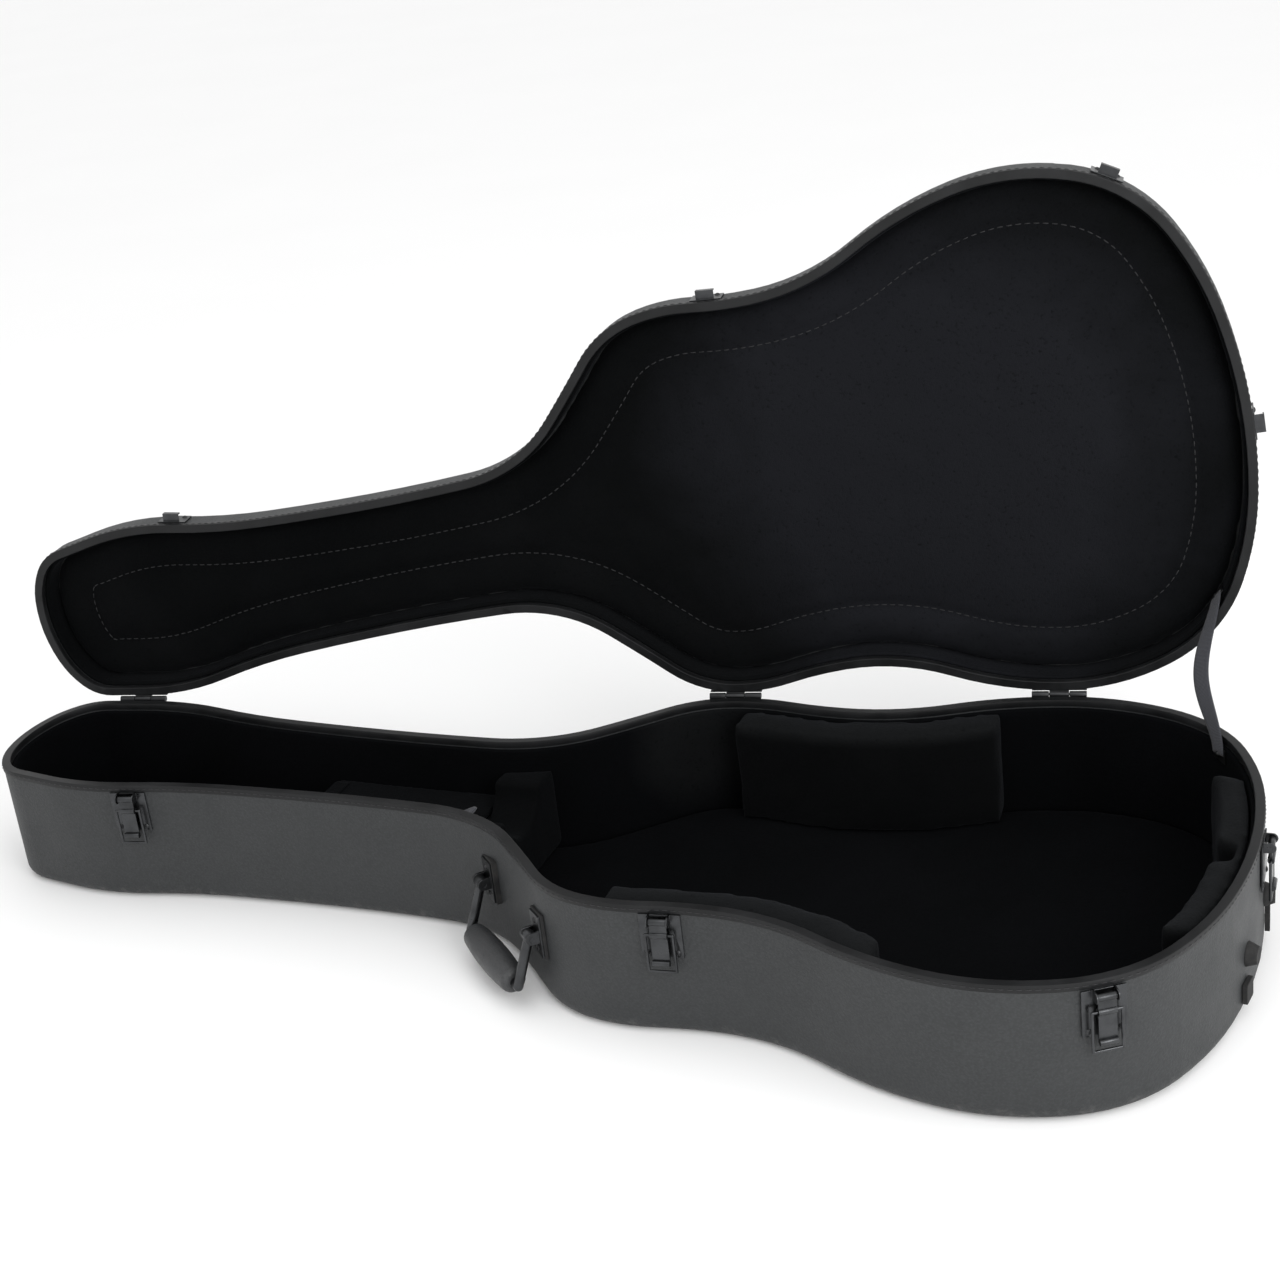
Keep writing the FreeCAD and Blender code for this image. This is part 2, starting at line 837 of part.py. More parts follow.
def latch_bail(name):
    """A wire loop, hanging from its two ends in the lever's barrel."""
    out = "Sizes.lever_pivot_out"
    pivot = "-Sizes.bail_pivot_drop"
    rise = "(Sizes.bail_pivot_drop + Sizes.bail_hook_rise)"
    lean = "(Sizes.bail_hook_out - Sizes.lever_pivot_out)"
    reach = f"sqrt({rise}^2 + {lean}^2)"
    foot = f"{pivot} - {reach}"
    half = "Sizes.bail_half"
    end_length = "Sizes.bail_half - Sizes.bail_end_gap"
    wire = "Sizes.wire_radius"
    parts = [cylinder(name + "_bar", wire, f"2 * {half}", (f"-{half}", out, foot), "x")]
    starts = {"left": (f"-{half}", f"-{half}"), "right": (half, "Sizes.bail_end_gap")}
    for key, (x, start) in starts.items():
        parts.append(cylinder(f"{name}_{key}_leg", wire, reach, (x, out, foot), "z"))
        parts.append(cylinder(f"{name}_{key}_end", wire, end_length, (start, out, pivot), "x"))
        parts.append(sphere(f"{name}_{key}_bend", wire, (x, out, foot)))
        parts.append(sphere(f"{name}_{key}_elbow", wire, (x, out, pivot)))
    return fuse(name, parts)


def keeper(name):
    """The catch on the lid: a riveted plate with a shelf and an upturned lip."""
    plate = box(
        name + "_sheet",
        ("Sizes.keeper_width", "Sizes.plate_thick", "Sizes.keeper_height"),
        ("-Sizes.keeper_width / 2", "Sizes.plate_off", "Sizes.keeper_low"),
    )
    shelf = box(
        name + "_shelf",
        ("Sizes.hook_width", "Sizes.hook_out - Sizes.plate_off", "Sizes.plate_thick"),
        ("-Sizes.hook_width / 2", "Sizes.plate_off", "Sizes.hook_shelf"),
    )
    lip = box(
        name + "_lip",
        ("Sizes.hook_width", "Sizes.plate_thick", "Sizes.hook_lip"),
        ("-Sizes.hook_width / 2", "Sizes.hook_out - Sizes.plate_thick", "Sizes.hook_shelf"),
    )
    return fuse(name, [plate, shelf, lip])


LATCHES = {
    "head_latch": edge_point(size("head_latch_along"), True),
    "waist_latch": edge_point(size("waist_latch_along"), True),
    "bout_latch": edge_point(size("bout_latch_along"), True),
    "butt_latch": butt_point(size("butt_latch_across")),
}


def latch_spot(name):
    point, outward = LATCHES[name]
    return wall_frame(point, outward, size("base_depth"))


def make_latches():
    pins = []
    for name in LATCHES:
        spot = latch_spot(name)
        node(latch_plate(name + "_plate"), name + "_plate", spot)
        node(latch_lever(name + "_lever"), name + "_lever", spot)
        node(latch_bail(name + "_bail"), name + "_bail", spot)
        node(keeper(name + "_keeper"), name + "_keeper", LID_OPEN.multiply(spot))
        holder = group(name + "_pin_holder", [latch_pin(name + "_pin")])
        holder.Placement = spot
        pins.append(holder)
    node(group("latch_pins", pins), "latch_pins")


# ---------------------------------------------------------------------------------------------
# Carrying handle. Its own frame is like a latch's, with the origin on the pivot line.


def handle_core():
    """A bent steel strap: two eyes on the pivot line, two arms and a bar through the grip."""
    half = "Sizes.handle_half"
    drop = "-Sizes.handle_reach"
    core = "Sizes.core_radius"
    parts = [cylinder("core_bar", core, f"2 * {half}", (f"-{half}", ZERO, drop), "x")]
    for key, x in (("left", f"-{half}"), ("right", half)):
        parts.append(cylinder(f"core_{key}_arm", core, "Sizes.handle_reach", (x, ZERO, drop), "z"))
        parts.append(sphere(f"core_{key}_bend", core, (x, ZERO, drop)))
        parts.append(
            cylinder(
                f"core_{key}_eye",
                "Sizes.eye_radius",
                "Sizes.eye_length",
                (f"{x} - Sizes.eye_length / 2", ZERO, ZERO),
                "x",
            )
        )
    bore = cylinder(
        "core_bore",
        "Sizes.handle_pin_radius + Sizes.running_gap",
        f"4 * {half}",
        (f"-2 * {half}", ZERO, ZERO),
        "x",
    )
    return cut("handle_core", fuse("handle_core_bar", parts), bore)


def handle_grip():
    """A moulded grip with rounded ends, threaded on the core."""
    body = doc.addObject("PartDesign::Body", "handle_grip")
    sketch = body.newObject("Sketcher::SketchObject", "grip_profile")
    sketch.AttachmentSupport = [(plane_of(body, "XZ_Plane"), "")]
    sketch.MapMode = "FlatFace"
    half = size("grip_length") / 2
    outer = size("grip_radius")
    inner = size("core_radius")
    low = outer - size("grip_swell")
    round_end = size("grip_round")
    corner = round_end * (1 - math.sqrt(0.5))
    left_top, right_top = Vector(-half + round_end, low, 0), Vector(half - round_end, low, 0)
    left_side, right_side = Vector(-half, low - round_end, 0), Vector(half, low - round_end, 0)
    sketch.addGeometry(Part.Arc(left_top, Vector(0, outer, 0), right_top))
    right_mid = Vector(half - corner, low - corner, 0)
    left_mid = Vector(-half + corner, low - corner, 0)
    sketch.addGeometry(Part.Arc(right_top, right_mid, right_side))
    sketch.addGeometry(Part.LineSegment(right_side, Vector(half, inner, 0)))
    sketch.addGeometry(Part.LineSegment(Vector(half, inner, 0), Vector(-half, inner, 0)))
    sketch.addGeometry(Part.LineSegment(Vector(-half, inner, 0), left_side))
    sketch.addGeometry(Part.Arc(left_side, left_mid, left_top))
    spin = body.newObject("PartDesign::Revolution", "grip_body")
    spin.Profile = sketch
    spin.ReferenceAxis = (sketch, ["H_Axis"])
    spin.Angle = 360
    doc.recompute()
    return body


def handle_bracket(name, middle):
    """A riveted plate with two ears around one eye of the core."""
    back = "-Sizes.handle_pivot_out + Sizes.bracket_off"
    gap = "(Sizes.eye_length / 2 + Sizes.soft_gap)"
    ear = "Sizes.handle_ear_thick"
    parts = [
        box(
            name + "_sheet",
            ("Sizes.bracket_width", "Sizes.bracket_thick", "Sizes.bracket_height"),
            (f"{middle} - Sizes.bracket_width / 2", back, "-Sizes.bracket_height / 2"),
        )
    ]
    for key, start in (("left", f"{middle} - {gap} - {ear}"), ("right", f"{middle} + {gap}")):
        parts.append(
            box(
                f"{name}_{key}_web",
                (ear, "Sizes.handle_pivot_out - Sizes.bracket_off", "2 * Sizes.eye_radius"),
                (start, back, "-Sizes.eye_radius"),
            )
        )
        parts.append(cylinder(f"{name}_{key}_ear", "Sizes.eye_radius", ear, (start, ZERO, ZERO), "x"))
    bore = cylinder(
        name + "_bore",
        "Sizes.handle_pin_radius",
        "2 * Sizes.bracket_width",
        (f"{middle} - Sizes.bracket_width", ZERO, ZERO),
        "x",
    )
    return cut(name, fuse(name + "_pressing", parts), bore)


def handle_seat(name, middle):
    """A block that fills the wedge between a flat bracket and the curved wall."""
    border = "2 * Sizes.seat_border"
    block = box(
        name + "_block",
        (f"Sizes.bracket_width + {border}", "3 * Sizes.bracket_off", f"Sizes.bracket_height + {border}"),
        (
            f"{middle} - Sizes.bracket_width / 2 - Sizes.seat_border",
            "-Sizes.handle_pivot_out - 2 * Sizes.bracket_off",
            "-Sizes.bracket_height / 2 - Sizes.seat_border",
        ),
    )
    holder = group(name + "_holder", [block])
    holder.Placement = handle_spot()
    fill, _ = padded_outline(name + "_wall", [0], ZERO, "Sizes.base_depth")
    return cut(name, holder, fill)


def handle_spot():
    """The handle's frame: on the pivot line, which is parallel to the chord between two wall points."""
    butt_end, _ = edge_point(size("handle_butt_along"), True)
    head_end, _ = edge_point(size("handle_head_along"), True)
    chord = head_end - butt_end
    outward = Vector(chord.y, -chord.x, 0).normalize()
    if outward.dot(ACROSS) < 0:
        outward = outward * -1
    pivot = (butt_end + head_end) / 2 + outward * size("handle_pivot_out")
    return wall_frame(pivot, outward, size("handle_pivot_height"))


def make_handle():
    spot = handle_spot()
    splay = Placement(Vector(), Rotation(Vector(1, 0, 0), size("handle_splay")))
    swung = spot.multiply(splay)
    node(handle_core(), "handle_core", swung)
    drop = Placement(Vector(0, 0, -size("handle_reach")), Rotation())
    node(handle_grip(), "handle_grip", swung.multiply(drop))
    pins = []
    seats = []
    for key, middle in (("butt", "-Sizes.handle_half"), ("head", "Sizes.handle_half")):
        name = f"handle_bracket_{key}"
        node(handle_bracket(name, middle), name, spot)
        seats.append(handle_seat(f"handle_seat_{key}", middle))
        half = "Sizes.eye_length / 2 + Sizes.soft_gap + Sizes.handle_ear_thick"
        pin = cylinder(
            f"handle_pin_{key}",
            "Sizes.handle_pin_radius",
            f"2 * ({half})",
            (f"{middle} - ({half})", ZERO, ZERO),
            "x",
        )
        pins.append(pin)
    node(group("handle_pins", pins), "handle_pins", spot)
    node(group("handle_seats", seats), "handle_seats")


# ---------------------------------------------------------------------------------------------
# Feet, stay strap and rivets


def foot(name):
    """A tapered rubber foot, pointing along the local y axis."""
    obj = doc.addObject("Part::Cone", name)
    bind(obj, Radius1="Sizes.foot_radius", Radius2="Sizes.foot_tip_radius", Height="Sizes.foot_height")
    obj.Placement = Placement(Vector(), Rotation(Vector(1, 0, 0), -90))
    return group(name + "_holder", [obj])


def glide(name):
    side = "Sizes.glide_side"
    block = box(name, (side, "Sizes.glide_height", side), (f"-{side} / 2", ZERO, f"-{side} / 2"))
    return group(name + "_holder", [block])


def make_feet():
    feet = []
    glides = []
    for key, sign in (("front", 1), ("back", -1)):
        point, outward = butt_point(sign * size("foot_across"))
        piece = foot(f"butt_foot_{key}")
        piece.Placement = wall_frame(point, outward, size("foot_level"))
        feet.append(piece)
        point, outward = butt_point(sign * size("glide_across"))
        piece = glide(f"butt_glide_{key}")
        piece.Placement = wall_frame(point + outward * size("glide_off"), outward, size("glide_level"))
        glides.append(piece)
    node(group("butt_feet", feet), "butt_feet")
    node(group("butt_glides", glides), "butt_glides")
    spine = []
    for alias in ("lower_bout_along", "upper_bout_along"):
        for level in ("low", "high"):
            along, across, _ = touch(alias)
            piece = foot(f"spine_foot_{alias}_{level}")
            spot = Vector(plan(along, -across).x, SPINE_Y, 0)
            piece.Placement = wall_frame(spot, Vector(0, 1, 0), size(f"spine_foot_{level}"))
            spine.append(piece)
    node(group("spine_feet", spine), "spine_feet")


def stay_corners(centre, width_way, thick_way):
    half_width = width_way * (size("stay_width") / 2)
    half_thick = thick_way * (size("stay_thick") / 2)
    corners = [
        centre - half_width - half_thick,
        centre + half_width - half_thick,
        centre + half_width + half_thick,
        centre - half_width + half_thick,
    ]
    return Part.makePolygon(corners + corners[:1])


def make_stay():
    """The strap that stops the lid: up the inside of the base, over both rims, into the lid."""
    point, outward = edge_point(size("stay_along"), False)
    way = Vector(-outward.y, outward.x, 0)
    lining_face = size("wall") + size("lining")
    inset = lining_face + size("stay_clear") + size("stay_thick") / 2
    foot_point = point - outward * inset
    turn = LID_OPEN.Rotation
    rim = size("base_depth")
    sections = []
    for rise in (-size("stay_drop"), size("stay_lift")):
        centre = foot_point + Vector(0, 0, rim + rise)
        sections.append(stay_corners(centre, way, outward))
    for rise in (-size("stay_lift"), size("stay_drop")):
        centre = LID_OPEN.multVec(foot_point + Vector(0, 0, rim + rise))
        sections.append(stay_corners(centre, turn.multVec(way), turn.multVec(outward)))
    strap = doc.addObject("Part::Feature", "stay_strap")
    strap.Shape = Part.makeLoft(sections, True, True)
    node(strap, "stay_strap")
    base_spot = wall_frame(point - outward * lining_face, outward * -1, rim - size("stay_drop"))
    lid_spot = wall_frame(point - outward * lining_face, outward * -1, rim + size("stay_drop"))
    node(stay_anchor("stay_anchor_base"), "stay_anchor_base", base_spot)
    node(stay_anchor("stay_anchor_lid"), "stay_anchor_lid", LID_OPEN.multiply(lid_spot))


def stay_anchor(name):
    """A washer plate behind the strap's end and the head of its screw in front."""
    plate = box(
        name + "_plate",
        ("Sizes.anchor_width", "Sizes.anchor_thick", "Sizes.anchor_height"),
        ("-Sizes.anchor_width / 2", "Sizes.anchor_off", "-Sizes.anchor_height / 2"),
    )
    head = rivet(name + "_head")
    front = size("stay_clear") + size("stay_thick") + size("rivet_dome") - size("rivet_head")
    head.Placement = Placement(Vector(0, front, 0), Rotation())
    return group(name, [plate, head])


def rivet(name):
    """A domed rivet whose head sits on the local origin's plane, pointing outwards along y."""
    head = sphere(name + "_dome", "Sizes.rivet_head", (ZERO,) * 3)
    clip = box(
        name + "_clip",
        ("2 * Sizes.rivet_head", "2 * Sizes.rivet_head", "2 * Sizes.rivet_head"),
        ("-Sizes.rivet_head", "Sizes.rivet_head - Sizes.rivet_dome", "-Sizes.rivet_head"),
    )
    return common(name, head, clip)


def rivet_group(name, spots):
    """Identical rivets at many spots, each a placement on the face that it holds."""
    pieces = []
    for index, spot in enumerate(spots):
        cap = size("rivet_head") - size("rivet_dome")
        piece = rivet(f"{name}_{index}")
        piece.Placement = spot.multiply(Placement(Vector(0, -cap, 0), Rotation()))
        pieces.append(piece)
    node(group(name, pieces), name)


def offset(spot, x, y, z):
    return spot.multiply(Placement(Vector(x, y, z), Rotation()))


def make_rivets():
    leaf_face = size("leaf_thick") - size("leaf_back")
    plate_face = size("plate_off") + size("plate_thick")
    base_spots = []
    lid_spots = []
    for alias in HINGES.values():
        spot = hinge_place(alias)
        for step in (-1, 0, 1):
            x = step * size("leaf_rivet_pitch")
            reach = size("leaf_rivet_reach")
            base_spots.append(offset(spot, x, leaf_face, -reach))
            lid_spots.append(LID_OPEN.multiply(offset(spot, x, leaf_face, reach)))
    for name in LATCHES:
        spot = latch_spot(name)
        low = size("plate_rivet_margin") - size("plate_top") - size("plate_drop")
        for side in (-1, 1):
            base_spots.append(offset(spot, side * size("plate_rivet_half"), plate_face, low))
            held = offset(spot, side * size("keeper_rivet_half"), plate_face, size("keeper_rivet_height"))
            lid_spots.append(LID_OPEN.multiply(held))
    rivet_group("base_rivets", base_spots)
    rivet_group("lid_rivets", lid_spots)
    face = size("bracket_off") + size("bracket_thick") - size("handle_pivot_out")
    handle_spots = []
    rise = size("bracket_rivet_height")
    for sign in (-1, 1):
        for z in (-rise, rise):
            handle_spots.append(offset(handle_spot(), sign * size("handle_half"), face, z))
    rivet_group("handle_rivets", handle_spots)


# ---------------------------------------------------------------------------------------------


def check_document():
    for obj in doc.Objects:
        if "Invalid" in obj.State or "Error" in obj.State:
            raise RuntimeError(f"{obj.Name} did not build: {obj.State}")
    for obj in NODES:
        if obj.Shape.isNull() or not obj.Shape.isValid():
            raise RuntimeError(f"{obj.Label} has no valid shape")


def write_parts():
    os.makedirs("parts", exist_ok=True)
    for obj in NODES:
        obj.Shape.exportStep(f"parts/{obj.Label}.step")


make_base_shell()
make_lid_shell()
make_rim_trims()
make_linings()
make_waist_pads()
make_tail_pad()
make_head_pad()
make_neck_cradle()
make_accessory_bin()
make_accessory_door()
make_hinges()
make_latches()
make_handle()
make_feet()
make_stay()
make_rivets()
doc.recompute()
check_document()
write_parts()
print(len(NODES), "nodes written")
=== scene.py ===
"""An open hard-shell guitar case: grained vinyl over plywood, plush inside, black hardware."""

import json
import math

import bmesh
import bpy
from mathutils import Matrix, Vector, noise
from mathutils.bvhtree import BVHTree
from mathutils.kdtree import KDTree


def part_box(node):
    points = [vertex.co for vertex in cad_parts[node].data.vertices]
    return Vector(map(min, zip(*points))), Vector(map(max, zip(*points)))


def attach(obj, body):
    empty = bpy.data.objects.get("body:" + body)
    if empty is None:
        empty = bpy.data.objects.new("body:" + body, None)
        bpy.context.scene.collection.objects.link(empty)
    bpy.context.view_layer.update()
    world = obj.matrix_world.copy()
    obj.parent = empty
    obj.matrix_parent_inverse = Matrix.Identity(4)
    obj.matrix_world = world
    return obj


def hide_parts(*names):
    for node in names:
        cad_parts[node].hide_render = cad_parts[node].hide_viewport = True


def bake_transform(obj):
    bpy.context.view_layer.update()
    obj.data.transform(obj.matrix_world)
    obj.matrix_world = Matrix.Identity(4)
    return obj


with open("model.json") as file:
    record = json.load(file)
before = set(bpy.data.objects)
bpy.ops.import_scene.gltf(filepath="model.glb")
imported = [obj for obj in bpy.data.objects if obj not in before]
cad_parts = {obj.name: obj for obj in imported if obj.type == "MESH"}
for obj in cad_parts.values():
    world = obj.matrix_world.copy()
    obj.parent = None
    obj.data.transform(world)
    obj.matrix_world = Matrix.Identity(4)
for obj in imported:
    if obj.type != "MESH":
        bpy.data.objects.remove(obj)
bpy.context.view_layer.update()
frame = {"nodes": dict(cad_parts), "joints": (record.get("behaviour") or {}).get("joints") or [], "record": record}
NODES = frame["nodes"]
SCENE = bpy.context.scene

# ---------------------------------------------------------------------------------------------
# Where things are. "Along" runs on the guitar's axis from the butt end, "across" from that axis
# to the front. The lid is shaped in its closed place and then carried to where it stands open.

TILT = math.radians(9.5)
ALONG = Vector((-math.cos(TILT), math.sin(TILT), 0.0))
ACROSS = Vector((-math.sin(TILT), -math.cos(TILT), 0.0))
UP = Vector((0.0, 0.0, 1.0))
BUTT = ALONG * -0.545
RIM = 0.111
LID_JOINT = next(j for j in frame["joints"] if j["name"] == "lid_hinge")
HINGE = Vector(LID_JOINT["pos_m"])
SWING = Matrix.Rotation(math.radians(LID_JOINT["range_deg"][0]), 4, "X")
OPEN = Matrix.Translation(HINGE) @ SWING @ Matrix.Translation(-HINGE)
CLOSED = OPEN.inverted()
STILL = Matrix.Identity(4)
MERGE = 2e-5


def plan(along, across, z=0.0):
    """The point that lies so far along and across the guitar's axis from the butt end."""
    return BUTT + ALONG * along + ACROSS * across + UP * z


def to_plan(point):
    """Along, across and height of a point."""
    flat = point - BUTT
    return flat.dot(ALONG), flat.dot(ACROSS), point.z


def smooth_step(low, high, value):
    """0 below the first bound, 1 above the second, and an eased step between."""
    t = min(1.0, max(0.0, (value - low) / (high - low)))
    return t * t * (3 - 2 * t)


# ---------------------------------------------------------------------------------------------
# Materials


class Shader:
    """A material's node tree, with short ways to add nodes."""

    def __init__(self, name):
        self.material = bpy.data.materials.new(name)
        self.material.use_nodes = True
        self.tree = self.material.node_tree
        self.tree.nodes.clear()
        self.output = self.node("ShaderNodeOutputMaterial")
        self.bsdf = self.node("ShaderNodeBsdfPrincipled")
        self.link(self.bsdf.outputs["BSDF"], self.output.inputs["Surface"])
        self.place = self.node("ShaderNodeTexCoord").outputs["Object"]
        self.heights = []

    def node(self, kind, **values):
        made = self.tree.nodes.new(kind)
        for key, value in values.items():
            setattr(made, key, value)
        return made

    def link(self, start, end):
        self.tree.links.new(start, end)

    def set(self, **values):
        for key, value in values.items():
            self.bsdf.inputs[key.replace("_", " ")].default_value = value

    def stretched(self, scale, turn=(0.0, 0.0, 0.0)):
        mapping = self.node("ShaderNodeMapping")
        mapping.inputs["Scale"].default_value = scale
        mapping.inputs["Rotation"].default_value = turn
        self.link(self.place, mapping.inputs["Vector"])
        return mapping.outputs["Vector"]

    def noise(self, scale, detail=3.0, rough=0.5, distortion=0.0, place=None):
        made = self.node("ShaderNodeTexNoise")
        made.inputs["Scale"].default_value = scale
        made.inputs["Detail"].default_value = detail
        made.inputs["Roughness"].default_value = rough
        made.inputs["Distortion"].default_value = distortion
        self.link(place or self.place, made.inputs["Vector"])
        return made.outputs["Fac"]

    def cells(self, scale, feature="F1", place=None):
        made = self.node("ShaderNodeTexVoronoi", feature=feature)
        made.inputs["Scale"].default_value = scale
        self.link(place or self.place, made.inputs["Vector"])
        return made.outputs["Distance"]

    def curve(self, value, low, high, start=0.0, end=1.0):
        """Maps low..high to start..end, held at both ends."""
        made = self.node("ShaderNodeMapRange")
        ends = (("From Min", low), ("From Max", high), ("To Min", start), ("To Max", end))
        for key, number in ends:
            made.inputs[key].default_value = number
        self.link(value, made.inputs["Value"])
        return made.outputs["Result"]

    def maths(self, operation, first, second):
        made = self.node("ShaderNodeMath", operation=operation)
        for index, value in enumerate((first, second)):
            if isinstance(value, (int, float)):
                made.inputs[index].default_value = value
            else:
                self.link(value, made.inputs[index])
        return made.outputs["Value"]

    def between(self, amount, first, second):
        """A colour between two others, each a colour or a socket."""
        made = self.node("ShaderNodeMix", data_type="RGBA")
        self.link(amount, made.inputs[0])
        for index, value in ((6, first), (7, second)):
            if isinstance(value, (tuple, list)):
                made.inputs[index].default_value = (*value, 1.0)
            else:
                self.link(value, made.inputs[index])
        return made.outputs[2]

    def height(self, value, distance, strength=1.0):
        """Adds one layer of bump, distance in metres."""
        made = self.node("ShaderNodeBump")
        made.inputs["Distance"].default_value = distance
        made.inputs["Strength"].default_value = strength
        self.link(value, made.inputs["Height"])
        if self.heights:
            self.link(self.heights[-1], made.inputs["Normal"])
        self.heights.append(made.outputs["Normal"])

    def finish(self, color=None, roughness=None):
        if color is not None:
            self.link(color, self.bsdf.inputs["Base Color"])
        if roughness is not None:
            self.link(roughness, self.bsdf.inputs["Roughness"])
        if self.heights:
            self.link(self.heights[-1], self.bsdf.inputs["Normal"])
        return self.material

    def level(self):
        """Height above the floor of the shaded point, in metres."""
        split = self.node("ShaderNodeSeparateXYZ")
        self.link(self.place, split.inputs["Vector"])
        return split.outputs["Z"]


def vinyl_material():
    """Pebble-grained vinyl covering, with scuffs near the edge that the case rests on."""
    s = Shader("shell_vinyl")
    warp = s.noise(90.0, 2.0)
    grain = s.cells(520.0, "SMOOTH_F1")
    cracks = s.cells(360.0, "DISTANCE_TO_EDGE")
    broad = s.noise(5.0, 4.0, 0.55)
    tone = s.between(s.curve(broad, 0.30, 0.72), (0.0292, 0.0314, 0.0330), (0.0334, 0.0358, 0.0374))
    dirt = s.between(s.curve(grain, 0.0, 0.55), tone, (0.0205, 0.0222, 0.0233))
    near_floor = s.curve(s.level(), 0.002, 0.014, 1.0, 0.0)
    scuff = s.maths("MULTIPLY", near_floor, s.curve(s.noise(130.0, 6.0, 0.7), 0.53, 0.66))
    color = s.between(scuff, dirt, (0.095, 0.094, 0.091))
    s.height(s.curve(cracks, 0.0, 0.10), 0.00022, 0.5)
    s.height(grain, 0.00030, 0.55)
    s.height(warp, 0.00025, 0.35)
    s.set(Specular_IOR_Level=0.42)
    return s.finish(color, s.curve(s.noise(28.0, 5.0), 0.3, 0.7, 0.50, 0.60))


def plush_material(name, dark, light, sheen, worn_and_lit=None, top=None):
    """Short-pile plush: brushed patches, a fine nap and a soft bloom at grazing angles.
    The patch argument (centre, radius, colour) is painted light: the pile is painted to that colour round the
    centre.
    The top argument (low, high, colour) is painted light on the upper faces: the pile is painted to that colour
    between two heights and above."""
    s = Shader(name)
    brushed = s.noise(7.0, 4.0, 0.6, 0.6)
    tufts = s.noise(380.0, 3.0, 0.6)
    fibres = s.noise(1500.0, 2.0, 0.6)
    patch = s.between(s.curve(brushed, 0.38, 0.64), dark, light)
    # Painted light: a lighter patch with a ragged edge, painted round a centre.
    if worn_and_lit:
        centre, radius, rubbed_and_lit = worn_and_lit
        reach = s.node("ShaderNodeVectorMath", operation="DISTANCE")
        s.link(s.place, reach.inputs[0])
        reach.inputs[1].default_value = centre
        ragged = s.curve(brushed, 0.2, 0.8, -0.28 * radius, 0.28 * radius)
        uneven = s.maths("ADD", reach.outputs["Value"], ragged)
        patch = s.between(s.curve(uneven, radius * 1.25, radius * 0.7), patch, rubbed_and_lit)
    # Painted light: the pile is painted lighter from a height up, where light falls on the tops.
    if top:
        low, high, rubbed_and_lit = top
        patch = s.between(s.curve(s.level(), low, high), patch, rubbed_and_lit)
    deep = tuple(0.8 * value for value in dark)
    color = s.between(s.curve(tufts, 0.22, 0.42), deep, patch)
    s.height(s.noise(38.0, 3.0), 0.0012, 0.35)
    s.height(tufts, 0.0010, 0.6)
    s.height(fibres, 0.0005, 0.8)
    s.set(Specular_IOR_Level=0.05, Sheen_Weight=sheen, Sheen_Roughness=0.42)
    s.bsdf.inputs["Sheen Tint"].default_value = (0.72, 0.76, 0.86, 1.0)
    return s.finish(color, s.curve(brushed, 0.3, 0.7, 0.82, 0.97))


def binding_material():
    """Satin extruded binding, with a faint grain along its length and dull rubbed patches."""
    s = Shader("rim_binding")
    rubbed_and_lit = s.noise(24.0, 5.0, 0.6)
    fine = s.noise(900.0, 3.0)
    color = s.between(s.curve(rubbed_and_lit, 0.4, 0.7), (0.0055, 0.0058, 0.0063), (0.0125, 0.0130, 0.0140))
    s.height(fine, 0.0001, 0.4)
    s.height(s.noise(140.0, 2.0), 0.0002, 0.3)
    s.set(Specular_IOR_Level=0.26)
    return s.finish(color, s.curve(rubbed_and_lit, 0.3, 0.7, 0.36, 0.55))


def metal_material(name, tint, polish):
    """Black nickel plate with hairline scratches, cloudy fingerprints and dull pits."""
    s = Shader(name)
    hairs = s.noise(60.0, 2.0, 0.6, 0.0, s.stretched((1.0, 9.0, 9.0), (0.4, 0.3, 0.2)))
    smudge = s.noise(70.0, 5.0, 0.6)
    pits = s.cells(420.0)
    worn_and_lit = tuple(0.62 * value for value in tint)
    color = s.between(s.curve(smudge, 0.45, 0.75), tint, worn_and_lit)
    s.height(hairs, 0.00004, 0.35)
    s.height(s.curve(pits, 0.0, 0.16), 0.00005, 0.3)
    s.set(Metallic=1.0)
    return s.finish(color, s.curve(smudge, 0.3, 0.7, polish, polish + 0.16))


def rubber_material():
    """Matt black rubber."""
    s = Shader("rubber")
    dust = s.noise(55.0, 5.0, 0.7)
    color = s.between(s.curve(dust, 0.45, 0.75), (0.014, 0.014, 0.0145), (0.045, 0.044, 0.042))
    s.height(s.noise(700.0, 4.0), 0.00012, 0.6)
    s.set(Specular_IOR_Level=0.3)
    return s.finish(color, s.curve(dust, 0.3, 0.7, 0.68, 0.88))


def grip_material():
    """Moulded handle cover with a leather grain, polished by hands in places."""
    s = Shader("grip_vinyl")
    grain = s.cells(650.0, "DISTANCE_TO_EDGE")
    shine = s.noise(40.0, 4.0)
    color = s.between(s.curve(grain, 0.0, 0.12), (0.012, 0.0125, 0.013), (0.042, 0.0435, 0.046))
    s.height(s.curve(grain, 0.0, 0.14), 0.00022, 0.7)
    s.height(s.noise(420.0, 3.0), 0.0001, 0.5)
    return s.finish(color, s.curve(shine, 0.35, 0.7, 0.34, 0.58))


def weave_material(name, dark, light, pitch):
    """Woven tape. The mesh's UVs are in metres: u across the tape, v along it."""
    s = Shader(name)
    uv = s.node("ShaderNodeUVMap").outputs["UV"]
    waves = []
    for direction in ("X", "Y"):
        wave = s.node("ShaderNodeTexWave", bands_direction=direction)
        wave.inputs["Scale"].default_value = 0.31 / pitch
        wave.inputs["Distortion"].default_value = 0.25
        s.link(uv, wave.inputs["Vector"])
        waves.append(wave.outputs["Fac"])
    weave = s.maths("MULTIPLY", *waves)
    fuzz = s.noise(1400.0, 3.0, 0.7)
    color = s.between(s.curve(weave, 0.05, 0.7), dark, light)
    s.height(weave, 0.00035, 0.9)
    s.height(fuzz, 0.0001, 0.6)
    s.set(Specular_IOR_Level=0.2, Sheen_Weight=0.15, Sheen_Roughness=0.5)
    return s.finish(color, s.curve(fuzz, 0.3, 0.7, 0.7, 0.9))


